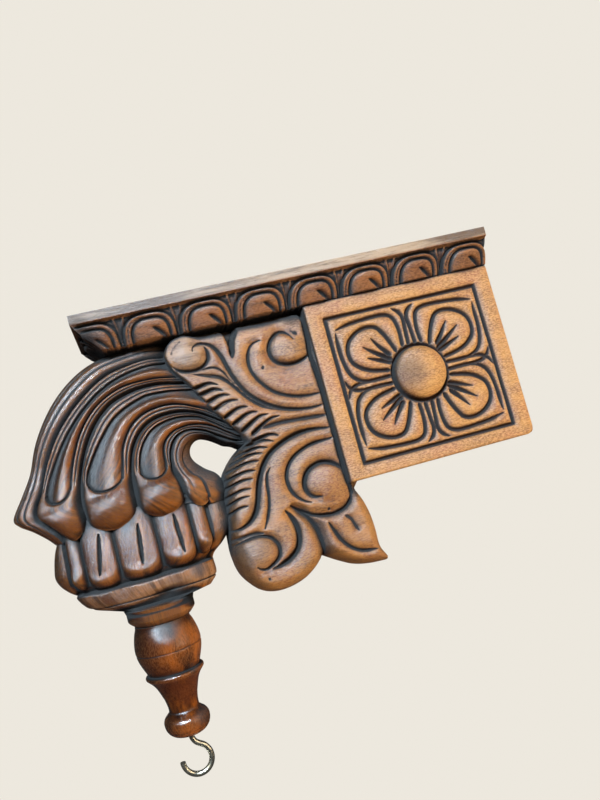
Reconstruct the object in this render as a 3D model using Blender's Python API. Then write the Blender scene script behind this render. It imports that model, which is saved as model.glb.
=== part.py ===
"""Carved wooden wall bracket: a square block that meets the wall, scrolled leaves, an arm that
bends down into a petalled bell, a petal moulding on top, a turned drop and a screw hook.

Metres, +Z up. The origin is the middle of the block's wall face. The wall is the plane x = 0,
the arm reaches out along -X, and the two carved faces look along -Y and +Y.
The carving is drawn in millimetres as (reach from the wall, drop below the shelf's top).
"""
import math

import bmesh
import bpy
import numpy as np
from mathutils.geometry import delaunay_2d_cdt

# Driving sizes
BODY_THICKNESS = 0.046
BLOCK_WIDTH = 0.1195
BLOCK_HEIGHT = 0.1068
BLOCK_WORN_CORNER = 0.0030
CARVING_REACH = 0.1880
LEAF_STEP = 0.0028
ARM_STEP = 0.0032
COLLAR_RADIUS = 0.0198
COLLAR_FOOT_RADIUS = 0.0162
FIT_GAP = 0.0003

MOULDING_LENGTH = 0.2516
MOULDING_HEIGHT = 0.0203
MOULDING_OVERHANG = 0.0090
MOULDING_END_OVERHANG = 0.0140
EGG_PITCH = 0.0326
EGG_RISE = 0.0020
EGG_GROOVE_DEPTH = 0.0018

GROOVE_WIDTH = 0.0027
GROOVE_DEPTH = 0.0021
FEATHER_WIDTH = 0.0022
FEATHER_DEPTH = 0.0017
RIB_GROOVE_DEPTH = 0.0028
TONGUE_GROOVE_DEPTH = 0.0012
TONGUE_RISE = 0.0017
BULB_RISE = 0.0026

FLOWER_RADIUS = 0.045
BOSS_RADIUS = 0.0164
BOSS_RISE = 0.0050

DROP_LENGTH = 0.0653
DROP_BALL_RADIUS = 0.01930
DROP_NECK_RADIUS = 0.0088
DROP_BUN_RADIUS = 0.0132
DROP_SIDES = 22

WIRE_DIAMETER = 0.0032
HOOK_RADIUS = 0.0084
HOOK_SHANK = 0.0065

# The drawing's own measures, in its millimetres
DRAWN_BLOCK = 119.5
DRAWN_BLOCK_TALL = 106.8
DRAWN_SHELF = 20.2
DRAWN_REACH = 186.2
DRAWN_DROP_AXIS = 242.1
DRAWN_COLLAR_AXIS = 241.2
DRAWN_COLLAR_TOP = 164.0
DRAWN_COLLAR_EDGE = 169.8
DRAWN_COLLAR_FOOT = 173.0

SCALE = CARVING_REACH / DRAWN_REACH
TRIM_ROOM = 0.004
HALF_BLOCK = BODY_THICKNESS / 2
HALF_LEAF = HALF_BLOCK - LEAF_STEP
HALF_ARM = HALF_BLOCK - ARM_STEP
BODY_TOP = BLOCK_HEIGHT / 2


def place(points):
    """Turn drawn points (reach, drop) into x and z in metres."""
    drawn = np.asarray(points, dtype=float)
    x = -BLOCK_WIDTH - (drawn[:, 0] - DRAWN_BLOCK) * SCALE
    z = BODY_TOP - (drawn[:, 1] - DRAWN_SHELF) * SCALE
    return np.stack([x, z], axis=1)


def smooth(points, step):
    """A smooth curve through the points, sampled about every step."""
    points = np.asarray(points, dtype=float)
    before = 2 * points[0] - points[1]
    after = 2 * points[-1] - points[-2]
    padded = np.vstack([before, points, after])
    samples = [points[0]]
    for i in range(1, len(padded) - 2):
        p0, p1, p2, p3 = padded[i - 1:i + 3]
        count = max(1, round(float(np.linalg.norm(p2 - p1)) / step))
        for k in range(1, count + 1):
            t = k / count
            bend = (2 * p0 - 5 * p1 + 4 * p2 - p3) * t + (3 * p1 - p0 - 3 * p2 + p3) * t * t
            samples.append(0.5 * (2 * p1 + (p2 - p0) * t + bend * t))
    return np.array(samples)


def line_distance(points, line):
    """Distance of each point from a polyline, and how far along the line it is, from 0 to 1."""
    points = np.asarray(points, dtype=float)
    starts, ends = line[:-1], line[1:]
    spans = ends - starts
    lengths = np.maximum(np.linalg.norm(spans, axis=1), 1e-12)
    along = np.einsum("nkd,kd->nk", points[:, None] - starts[None], spans) / lengths ** 2
    along = np.clip(along, 0, 1)
    nearest = starts[None] + along[..., None] * spans[None]
    gaps = np.linalg.norm(points[:, None] - nearest, axis=2)
    best = np.argmin(gaps, axis=1)
    rows = np.arange(len(points))
    travelled = np.concatenate([[0], np.cumsum(lengths)])
    share = (travelled[best] + along[rows, best] * lengths[best]) / travelled[-1]
    return gaps[rows, best], share


def side_lines(line, half_widths):
    """The two lips of a groove."""
    tangents = np.gradient(line, axis=0)
    tangents /= np.maximum(np.linalg.norm(tangents, axis=1), 1e-12)[:, None]
    normals = np.stack([-tangents[:, 1], tangents[:, 0]], axis=1)
    shift = normals * half_widths[:, None]
    return line + shift, line - shift


class Groove:
    """A V-shaped cut along a line. Its ends run out to nothing where they are tapered."""

    def __init__(self, line, width, depth, taper_start=True, taper_end=True):
        self.line = line
        self.width = width
        self.depth = depth
        self.taper_start = taper_start
        self.taper_end = taper_end

    def fullness(self, share):
        full = np.ones_like(share)
        if self.taper_start:
            full = np.minimum(full, share / 0.2)
        if self.taper_end:
            full = np.minimum(full, (1 - share) / 0.2)
        return np.clip(full, 0, 1)

    def cut(self, points):
        gap, share = line_distance(points, self.line)
        full = self.fullness(share)
        half = np.maximum(self.width / 2 * full, 1e-9)
        return self.depth * full * np.clip(1 - gap / half, 0, 1)

    def lines(self):
        _, share = line_distance(self.line, self.line)
        left, right = side_lines(self.line, self.width / 2 * self.fullness(share))
        return [self.line, left, right]


def inside(points, outline):
    """Whether each point is inside a closed outline."""
    x, z = points[:, 0:1], points[:, 1:2]
    x1, z1 = outline[:, 0], outline[:, 1]
    x2, z2 = np.roll(x1, -1), np.roll(z1, -1)
    straddles = (z1 > z) != (z2 > z)
    rise = np.where(np.abs(z2 - z1) < 1e-12, 1e-12, z2 - z1)
    crossing = x1 + (z - z1) * (x2 - x1) / rise
    return np.sum(straddles & (x < crossing), axis=1) % 2 == 1


def rings_inside(outline, offsets):
    """Points at set distances inside a closed outline, left out where the outline is too narrow."""
    closed = np.vstack([outline, outline[:1]])
    before, after = np.roll(outline, 1, axis=0), np.roll(outline, -1, axis=0)
    tangents = after - before
    tangents /= np.linalg.norm(tangents, axis=1)[:, None]
    normals = np.stack([-tangents[:, 1], tangents[:, 0]], axis=1)
    kept = []
    for offset in offsets:
        for side in (1, -1):
            ring = outline + normals * offset * side
            gap, _ = line_distance(ring, closed)
            kept.append(ring[inside(ring, outline) & (gap > 0.93 * offset)])
    return np.vstack(kept)


def thin_out(points, lines, clearance):
    """Drop loose points that lie close to a line or to each other."""
    kept = []
    blocked = np.vstack(lines) if lines else np.zeros((0, 2))
    for point in points:
        if len(blocked) and np.min(np.linalg.norm(blocked - point, axis=1)) < clearance:
            continue
        kept.append(point)
        blocked = np.vstack([blocked, point])
    return kept


def carved_slab(name, outline, lines, loose, half_depth):
    """A slab with the same relief on both faces. half_depth gives the height of each point."""
    coords = [tuple(point) for point in outline]
    face = list(range(len(coords)))
    edges = []
    for line in lines:
        first = len(coords)
        coords += [tuple(point) for point in line]
        edges += [(first + i, first + i + 1) for i in range(len(line) - 1)]
    coords += [tuple(point) for point in loose]
    flat, _, triangles, _, _, _ = delaunay_2d_cdt(coords, edges, [face], 1, 2e-5)
    flat = np.array([tuple(point) for point in flat])
    heights = half_depth(flat)
    mesh = bmesh.new()
    front = [mesh.verts.new((p[0], -h, p[1])) for p, h in zip(flat, heights)]
    back = [mesh.verts.new((p[0], h, p[1])) for p, h in zip(flat, heights)]
    for a, b, c in triangles:
        mesh.faces.new((front[a], front[b], front[c]))
        mesh.faces.new((back[c], back[b], back[a]))
    pairs = {}
    for a, b, c in triangles:
        for edge in ((a, b), (b, c), (c, a)):
            pairs[edge] = True
    for a, b in pairs:
        if (b, a) not in pairs:
            mesh.faces.new((front[b], front[a], back[a], back[b]))
    return finish_mesh(name, mesh)


def finish_mesh(name, mesh):
    """Point the faces outwards and put the mesh into the scene."""
    loose = [vertex for vertex in mesh.verts if not vertex.link_faces]
    bmesh.ops.delete(mesh, geom=loose, context="VERTS")
    bmesh.ops.triangulate(mesh, faces=mesh.faces)
    bmesh.ops.recalc_face_normals(mesh, faces=mesh.faces)
    data = bpy.data.meshes.new(name)
    mesh.to_mesh(data)
    mesh.free()
    made = bpy.data.objects.new(name, data)
    bpy.context.scene.collection.objects.link(made)
    return made


def loft(name, rings):
    """A closed solid through rings of equal count, with a flat cap on each end."""
    mesh = bmesh.new()
    rows = [[mesh.verts.new(tuple(point)) for point in ring] for ring in rings]
    count = len(rows[0])
    for above, below in zip(rows, rows[1:]):
        for i in range(count):
            j = (i + 1) % count
            mesh.faces.new((above[i], above[j], below[j], below[i]))
    mesh.faces.new(rows[0][::-1])
    mesh.faces.new(rows[-1])
    return finish_mesh(name, mesh)


# The arm's sections: the outer point, the inner point, the half depth as a share of the arm's
# and how square the section is
ARM_SECTIONS = [
    ((183.0, 17.0), (163.0, 92.5), 0.88, 3.0),
    ((196.0, 17.5), (172.5, 93.5), 0.96, 3.0),
    ((208.0, 18.0), (178.0, 89.7), 1.00, 3.0),
    ((221.0, 18.5), (183.5, 84.7), 1.00, 3.0),
    ((234.0, 19.4), (188.5, 81.0), 1.00, 3.0),
    ((246.5, 22.0), (193.2, 78.9), 1.00, 3.0),
    ((258.4, 28.0), (197.0, 79.0), 1.00, 3.0),
    ((269.7, 37.1), (200.2, 80.9), 1.00, 3.0),
    ((279.2, 48.3), (202.0, 83.6), 1.00, 3.0),
    ((286.9, 60.8), (202.5, 86.6), 1.00, 2.9),
    ((293.0, 75.2), (201.8, 89.4), 1.00, 2.8),
    ((300.0, 86.0), (200.0, 92.2), 1.02, 2.7),
    ((307.2, 96.9), (196.0, 96.3), 1.06, 2.6),
    ((305.3, 101.7), (190.8, 100.2), 1.12, 2.6),
    ((299.0, 106.4), (188.0, 105.0), 1.16, 2.6),
    ((292.4, 112.4), (187.0, 111.5), 1.11, 2.6),
    ((288.5, 117.0), (188.5, 116.4), 0.98, 2.6),
]
TONGUE_END_ROW = 12

# The lines where the arm's petals part, from outside to inside, as (reach, drop)
PETAL_LINES = [
    [(165, 26), (190, 26), (210, 27), (225.4, 28.6), (239.8, 31.5), (252.3, 38.7), (263.8, 47.8),
     (274.4, 59.3), (282.6, 72.8), (288, 85.3), (293.7, 95), (294.2, 101), (290.5, 106), (286, 112),
     (283, 118)],
    [(165, 52), (180, 50), (192, 47.4), (207, 44.8), (215, 44), (225, 44.5), (235, 46.8), (242, 50),
     (250, 57), (256, 65), (261, 74), (265, 84), (267.5, 93), (268.5, 100), (268.5, 118)],
    [(165, 80), (175, 77.5), (185, 71), (192, 66.5), (200, 63.5), (208, 62.3), (216, 62.7), (222, 64.5),
     (227, 67.8), (231, 72), (234.5, 78), (237, 85), (238.3, 92), (239, 100), (239.3, 118)],
    [(165, 90), (173, 88.5), (178, 86.5), (185, 81.8), (190, 77.8), (195, 75.2), (200, 73.8),
     (205, 74.2), (209, 76.5), (212, 80.5), (214, 85), (214.5, 90), (213.8, 95), (212.4, 100.7),
     (211.5, 118)],
    [(165, 91.3), (174, 91.5), (180, 86.8), (185, 82.8), (190, 79.5), (195, 77.8), (200, 78),
     (204.5, 80.5), (207.5, 84.5), (208.8, 89), (208, 94), (206, 98), (202, 103), (199, 118)],
]

# The left and right edge of the raised tongue on each of the three side petals
TONGUE_LINES = [
    ([(165, 31), (190, 31), (210, 32), (227.3, 34.3), (242.7, 40), (257, 50.2), (269.6, 63.2),
      (280.2, 78.6), (288, 93.5)],
     [(165, 47.5), (190, 43.9), (203.3, 41.9), (217.7, 40.9), (233, 42), (247.5, 48.8), (258, 59.3),
      (264.8, 71), (269.6, 83.4), (272, 95)]),
    ([(165, 57), (180, 55), (195, 51), (213.8, 49.2), (223.5, 50), (238.8, 56.5), (250.4, 68),
      (260, 81.5), (264, 92), (263.5, 96)],
     [(165, 76), (178, 72.2), (188, 65), (194.6, 61.8), (207, 57.6), (220.6, 58.2), (231.2, 63.7),
      (238.4, 73.8), (241.3, 84.3), (243.6, 96)]),
    ([(165, 83), (177, 79.5), (187, 72.5), (195, 67.3), (208, 65), (221.5, 68.5), (230.2, 78.6),
      (233.6, 92), (232.6, 99)],
     [(165, 88), (173, 85.5), (180, 80), (190, 73.6), (200, 71), (210, 72.6), (216.6, 79), (218, 90),
      (219, 99)]),
]
TONGUE_COLUMNS = (0.22, 0.5, 0.78)

# The bell's lower part: drop, outer reach, inner reach, half depth, squareness
BELL_SECTIONS = [
    (108.0, 284.0, 192.0, 0.92, 2.5),
    (116.0, 287.6, 189.0, 0.98, 2.5),
    (122.0, 290.4, 188.6, 1.04, 2.5),
    (129.0, 292.4, 188.8, 1.10, 2.5),
    (135.0, 293.2, 192.4, 1.13, 2.5),
    (140.0, 291.2, 197.6, 1.10, 2.4),
    (144.0, 287.6, 203.0, 1.03, 2.4),
    (147.0, 283.8, 205.0, 0.93, 2.3),
    (148.4, 284.6, 204.8, 1.02, 2.2),
    (152.8, 282.2, 204.6, 1.03, 2.2),
    (156.8, 277.6, 205.6, 0.99, 2.2),
    (161.0, 266.4, 209.6, 0.82, 2.1),
]
LOWER_VALLEYS = [284.0, 275.5, 256.5, 233.0, 212.5]
LOWER_SLITS = [None, 265.6, 243.0, 221.2]
LOWER_TIER_ROWS = (1, 6)
ROUND_SECTION = 2.0

# The slab with the leaves: runs of its outline, which meet at corners
LEAF_OUTLINE = [
    [(109, 12), (198, 12)],
    [(198, 12), (204, 22), (204.3, 31), (201.5, 39), (196.5, 46.5), (191, 56), (187, 64), (177.5, 76.8),
     (173, 83), (171, 88.4)],
    [(171, 88.4), (178.4, 93.0), (184, 98.4), (188.2, 104.4), (190.4, 112), (191.8, 122),
     (193, 133), (193.9, 142), (194, 151), (191.8, 161.8), (184.8, 171.2), (176.5, 175), (167, 175.2),
     (157.2, 172.7), (149.5, 168.2), (143.4, 162.6)],
    [(143.4, 162.6), (138.3, 166.1), (131.8, 170.2), (125.4, 173.3), (116.7, 175.1), (107, 175.8)],
    [(107, 175.8), (105.6, 173), (108.6, 166), (108.6, 155.8), (109.2, 146.6), (111.2, 137.8),
     (114.4, 130.2)],
    [(114.4, 130.2), (109, 124)],
    [(109, 122), (109, 12)],
]
LEAF_EDGE_ROUND = 0.008
LEAF_EDGE_HALF = 0.006
LEAF_EDGE_RINGS = (0.0011, 0.0045)

# Main cuts of the leaves and scrolls: points, width share, depth share
LEAF_GROOVES = [
    ([(190.9, 27.2), (181.5, 28.4), (179.8, 34), (182.5, 39.4), (190.4, 41), (197.5, 39.8), (201.2, 35)],
     1.0, 1.2),
    ([(182.5, 27.5), (176, 30.5), (172.6, 37.5), (169, 51), (161, 64.6), (146.5, 74.6), (134, 78),
      (121, 78.2)], 1.1, 1.2),
    ([(190, 44.8), (177.8, 48.4), (169.5, 56.8), (160, 68.3), (148, 75.3)], 1.1, 1.1),
    ([(186, 42.6), (177.5, 43.6), (171.6, 51), (167.5, 57)], 0.7, 0.8),
    ([(160, 22), (163.7, 28.6), (166.9, 38.5)], 1.9, 2.0),
    ([(145.5, 33.8), (152.5, 34.3), (158, 43), (157.5, 51.6), (150.7, 62), (138, 69.3), (121, 71.4)],
     1.0, 1.0),
    ([(128.3, 38.5), (131.9, 33.3), (138, 31.8), (143.4, 36), (144.4, 44.8), (137, 50.5), (128, 50.2),
      (119.5, 45.3)], 0.9, 1.0),
    ([(162, 83.4), (150.7, 82.6), (135, 83.4), (121, 84.8)], 1.2, 1.0),
    ([(122.5, 91.9), (135, 90.7), (147.5, 92.3), (161, 98.6), (169, 109), (173.7, 121.6), (180.4, 132),
      (187, 134.9), (192, 134.9)], 1.3, 1.4),
    ([(161.6, 104.6), (166.3, 114.3), (168.4, 126.8), (174.7, 139.8)], 0.9, 1.0),
    ([(124, 98.2), (139, 99.6), (151.7, 107.5), (154.3, 118), (149, 128), (142.5, 131.6)], 1.0, 1.1),
    ([(136, 129.4), (143.6, 126.6), (145.4, 118.5), (140.2, 112.2), (132, 110.4), (124, 114),
      (119.5, 119.3)], 1.0, 1.2),
    ([(119, 129.9), (123.5, 137.4), (132, 140.4), (144.4, 138.3), (158, 129)], 1.3, 1.2),
    ([(192.4, 143.9), (186, 141.9), (178.9, 141.4), (170.5, 145.8), (168.8, 152.5), (174.5, 158.5),
      (181, 159.7), (185, 156.4)], 1.1, 1.3),
    ([(192.4, 140), (185, 139.6), (174.7, 138.3)], 0.8, 0.8),
    ([(161, 130.6), (156, 141), (157.5, 152), (165.5, 158.8), (176, 161.3)], 1.3, 1.4),
    ([(155.5, 130.5), (146.5, 141.4), (143.6, 155), (142.6, 162.5)], 1.2, 1.4),
    ([(138.5, 142.6), (132.9, 156), (124.5, 164.3), (113, 166.4)], 1.0, 1.1),
]
LEAF_GROOVE_STEP = 9.0

# Short strokes along the feathered edges of the two leaves: start, end
FEATHERS = [
    ((187.5, 54), (176.8, 56.8)), ((186.6, 60.5), (172.7, 60.3)), ((184.5, 65.8), (168.5, 64.4)),
    ((179.8, 71.8), (164.3, 68.8)), ((174.6, 76.6), (159, 73.3)), ((169.8, 80), (154.8, 75.8)),
    ((163.5, 83), (149.5, 78.4)),
    ((165.3, 88.9), (152.8, 89.8)), ((171.5, 92), (155.9, 92.1)), ((176.7, 95.6), (160.5, 95)),
    ((180.9, 99.4), (163.7, 97.4)), ((184.5, 103.6), (166.8, 101)), ((187.7, 108.4), (170.9, 106)),
    ((190.3, 113), (173.9, 110)), ((191.4, 118.4), (177, 115)), ((192, 123.4), (179, 119)),
    ((192.5, 128.2), (181, 124)),
]
FEATHER_SAG = 1.6

# Domed places on the leaves: centre, radius, rise
LEAF_DOMES = [
    ((190.4, 31.5), 9.6, 2.2),
    ((133.5, 41.5), 9.5, 1.4),
    ((133.0, 122.0), 11.5, 2.0),
    ((181.5, 150.2), 11.5, 2.0),
]
LEAF_DOME_SIDES = 7

# Sunken places between the leaves: corner points, depth in drawn millimetres
LEAF_HOLLOWS = [
    ([(161, 20), (168.5, 24), (166.6, 34), (163, 27.5)], 6.0),
]

# The block's flower, as shares of its radius, on the quarter up and away from the wall
FLOWER_CENTRE = (60.0, 74.6)
FLOWER_FRAME = (48.5, 43.8)
PETAL_EDGE = [(0.06, 0.41), (0.03, 0.76), (0.10, 0.88), (0.32, 0.915)]
PETAL_SIDE = [(0.41, -0.05), (0.70, -0.05), (0.94, -0.03), (1.05, 0.14)]
PETAL_RIM = [(0.14, 0.40), (0.14, 0.78), (0.33, 0.86), (0.80, 0.845), (0.985, 0.80), (0.985, 0.44),
             (0.87, 0.10), (0.41, 0.04)]
PETAL_STEP = 0.33
PETAL_LOOP = [(0.28, 0.38), (0.44, 0.71), (0.66, 0.74), (0.88, 0.50), (0.76, 0.22), (0.42, 0.13)]
PETAL_VEIN = [(0.67, 0.49), (0.36, 0.28)]


def ring_columns(section_ends, marks):
    """Shares across a section, 0 outside and 1 inside, where the marked lines cross it."""
    outer, inner = (np.array(end, dtype=float) for end in section_ends)
    span = inner - outer
    normal = np.array([-span[1], span[0]])
    shares = []
    for line in marks:
        line = np.asarray(line, dtype=float)
        sides = (line - outer) @ normal
        crossing = None
        for i in range(len(line) - 1):
            if sides[i] * sides[i + 1] <= 0 and sides[i] != sides[i + 1]:
                t = sides[i] / (sides[i] - sides[i + 1])
                point = line[i] + t * (line[i + 1] - line[i])
                share = (point - outer) @ span / (span @ span)
                if 0 < share < 1:
                    crossing = share
        if crossing is None:
            nearest = line[np.argmin(np.abs(sides))]
            crossing = (nearest - outer) @ span / (span @ span)
        shares.append(min(max(crossing, 0.01), 0.99))
    return shares


def section_ring(outer, inner, half_depth, power, columns):
    """One closed ring of a section. columns holds (share across, push outwards, drop) triples."""
    outer, inner = place([outer, inner])
    middle, reach = (outer + inner) / 2, (outer - inner) / 2
    radius = np.linalg.norm(reach)
    along = reach / radius
    front, back = [], []
    for share, push, drop in columns:
        u = 1 - 2 * share
        depth = half_depth * (1 - abs(u) ** power) ** (1 / power)
        slope = np.array([np.sign(u) * abs(u) ** (power - 1) / radius,
                          (depth / half_depth) ** (power - 1) / half_depth])
        slope /= np.linalg.norm(slope)
        spot = middle + along * (u * radius + push * slope[0])
        depth = depth + push * slope[1]
        point = (spot[0], -depth, spot[1] - drop)
        front.append(point)
        if 0 < share < 1:
            back.append((point[0], depth, point[2]))
    return front + back[::-1]


def arm_columns(row):
    """The columns of one of the arm's sections: nose, three tongued petals, the eye's rim."""
    outer, inner = ARM_SECTIONS[row][:2]
    valleys = ring_columns((outer, inner), PETAL_LINES)
    fade = min(1.0, 0.35 + row / 4)
    bulb = max(0, row - TONGUE_END_ROW) / (len(ARM_SECTIONS) - 1 - TONGUE_END_ROW)
    swell = math.sin(math.pi * min(1.0, bulb * 1.15)) if row > TONGUE_END_ROW else 0.0
    lift = 0.0035 * bulb
    columns = [(0.0, 0.0, 0.0), (valleys[0] * 0.5, 0.0, 0.0)]
    for petal in range(3):
        near, far = valleys[petal], valleys[petal + 1]
        width = far - near
        columns.append((near, -RIB_GROOVE_DEPTH * fade - BULB_RISE * swell, -lift))
        if row < TONGUE_END_ROW:
            left, right = ring_columns((outer, inner), TONGUE_LINES[petal])
            left = min(max(left, near + 0.10 * width), near + 0.45 * width)
            right = max(min(right, far - 0.08 * width), left + 0.25 * width)
            columns.append(((near + left) / 2, 0.0, 0.0))
            columns.append((left, -TONGUE_GROOVE_DEPTH * fade, 0.0))
            for k, share in enumerate(TONGUE_COLUMNS):
                rise = TONGUE_RISE if k == 1 else TONGUE_RISE * 0.6
                columns.append((left + share * (right - left), rise, 0.0))
            columns.append((right, -TONGUE_GROOVE_DEPTH * fade, 0.0))
            columns.append(((right + far) / 2, 0.0, 0.0))
        else:
            for share in (0.10, 0.22, 0.36, 0.5, 0.64, 0.78, 0.90):
                round_off = math.sin(math.pi * share) ** 0.7
                push = BULB_RISE * swell * round_off
                columns.append((near + share * width, push, -lift * (1 - round_off)))
    rim, edge = valleys[3], valleys[4]
    columns.append((rim, -RIB_GROOVE_DEPTH * fade, -lift))
    columns.append(((rim + edge) / 2, BULB_RISE * 0.4 * swell, 0.0))
    columns.append((edge, 0.0, 0.0))
    columns.append((1.0, 0.0, 0.0))
    return columns


def arm():
    """The arm, from inside the leaves round to the bulbs of the bell's upper petals."""
    rings = []
    for row, (outer, inner, depth_share, power) in enumerate(ARM_SECTIONS):
        rings.append(section_ring(outer, inner, HALF_ARM * depth_share, power, arm_columns(row)))
    foot = np.array(rings[-1])
    centre = foot.mean(axis=0)
    closing = centre + (foot - centre) * 0.8
    closing[:, 2] = centre[2] + 0.001
    return loft("arm", rings + [closing])


def lower_columns(row, outer, inner):
    """The columns of one of the bell's lower sections: slit tongues between valleys."""
    first, last = LOWER_TIER_ROWS
    in_tier = first <= row <= last
    swell = math.sin(math.pi * (row - first + 0.6) / (last - first + 1.2)) if in_tier else 0.0
    if not in_tier:
        outer, inner = BELL_SECTIONS[first if row < first else last][1:3]
    span = outer - inner
    valleys = [min(max((outer - reach) / span, 0.015), 0.97) for reach in LOWER_VALLEYS]
    groove = RIB_GROOVE_DEPTH * 1.3 * swell
    columns = [(0.0, 0.0, 0.0), (valleys[0] / 2, 0.0, 0.0)]
    for i, (near, far) in enumerate(zip(valleys, valleys[1:])):
        columns.append((near, -groove, 0.0))
        slit = LOWER_SLITS[i]
        cut = (outer - slit) / span if slit and in_tier else (near + far) / 2
        depth = -TONGUE_GROOVE_DEPTH if slit and first < row < last - 1 else 0.0
        columns.append((near + (cut - near) * 0.35, 0.3 * BULB_RISE * swell, 0.0))
        if slit:
            columns.append((near + (cut - near) * 0.75, 0.5 * BULB_RISE * swell, 0.0))
        columns.append((cut, depth, 0.0))
        if slit:
            columns.append((cut + (far - cut) * 0.25, 0.5 * BULB_RISE * swell, 0.0))
        columns.append((cut + (far - cut) * 0.65, 0.3 * BULB_RISE * swell, 0.0))
    columns.append((valleys[-1], -groove, 0.0))
    columns.append(((valleys[-1] + 1) / 2, 0.0, 0.0))
    columns.append((1.0, 0.0, 0.0))
    return columns


def lower_bell():
    """The bell's lower tongues, the disc under them and the round collar."""
    rings = []
    for row, (drop, outer, inner, depth_share, power) in enumerate(BELL_SECTIONS):
        columns = lower_columns(row, outer, inner)
        rings.append(section_ring((outer, drop), (inner, drop), HALF_ARM * depth_share, power, columns))
    flat_columns = lower_columns(len(BELL_SECTIONS), *BELL_SECTIONS[-1][1:3])
    collar = COLLAR_RADIUS / SCALE
    foot = COLLAR_FOOT_RADIUS / SCALE
    for drop, radius in ((DRAWN_COLLAR_TOP, collar), (DRAWN_COLLAR_EDGE, collar), (DRAWN_COLLAR_FOOT, foot)):
        ends = (DRAWN_COLLAR_AXIS + radius, drop), (DRAWN_COLLAR_AXIS - radius, drop)
        rings.append(section_ring(*ends, radius * SCALE, ROUND_SECTION, flat_columns))
    return loft("lower_bell", rings)


def leaf_slab():
    """The slab with scrolls, feathered leaves, the curl and the tail."""
    runs = [smooth(run, 8.0)[:-1] for run in LEAF_OUTLINE[1:5]]
    straight = [np.array(run[:1], dtype=float) for run in LEAF_OUTLINE[5:] + LEAF_OUTLINE[:1]]
    outline = place(np.vstack(runs + straight))
    closed = np.vstack([outline, outline[:1]])

    grooves = []
    for points, width, depth in LEAF_GROOVES:
        line = place(smooth(points, LEAF_GROOVE_STEP))
        grooves.append(Groove(line, GROOVE_WIDTH * width, GROOVE_DEPTH * depth))
    for start, end in FEATHERS:
        middle = ((start[0] + end[0]) / 2, (start[1] + end[1]) / 2 + FEATHER_SAG)
        stroke = place([start, middle, end])
        grooves.append(Groove(stroke, FEATHER_WIDTH, FEATHER_DEPTH))

    domes = [(place([centre])[0], radius * SCALE, rise * SCALE) for centre, radius, rise in LEAF_DOMES]
    hollows = [(place(corners), depth * SCALE) for corners, depth in LEAF_HOLLOWS]

    def half_depth(points):
        gap, _ = line_distance(points, closed)
        rounding = np.clip(gap / LEAF_EDGE_ROUND, 0, 1)
        rise = np.sqrt(1 - (1 - rounding) ** 2)
        height = LEAF_EDGE_HALF + (HALF_LEAF - LEAF_EDGE_HALF) * rise
        for centre, radius, lift in domes:
            away = np.linalg.norm(points - centre, axis=1) / radius
            height = height + lift * np.sqrt(np.clip(1 - away ** 2, 0, 1)) * rounding
        for corners, depth in hollows:
            height = height - depth * inside(points, corners)
        cuts = [groove.cut(points) for groove in grooves]
        return height - np.max(cuts, axis=0) * np.clip(gap / 0.001, 0, 1)

    lines = []
    for groove in grooves:
        if len(groove.line) > 3:
            lines += groove.lines()
        else:
            left, right = side_lines(groove.line, groove.width / 2 * np.array([0, 1, 0]))
            lines += [groove.line, left, right]
    dome_points = []
    for centre, radius, _ in domes:
        dome_points.append(centre)
        for k in range(LEAF_DOME_SIDES):
            angle = math.tau * k / LEAF_DOME_SIDES
            spoke = np.array([math.cos(angle), math.sin(angle)])
            dome_points.append(centre + spoke * radius * 0.75)
    rings = rings_inside(outline, LEAF_EDGE_RINGS)
    loose = thin_out(list(dome_points) + list(rings), lines, 0.0014)
    return carved_slab("leaf_slab", outline, lines, loose, half_depth)


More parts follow.
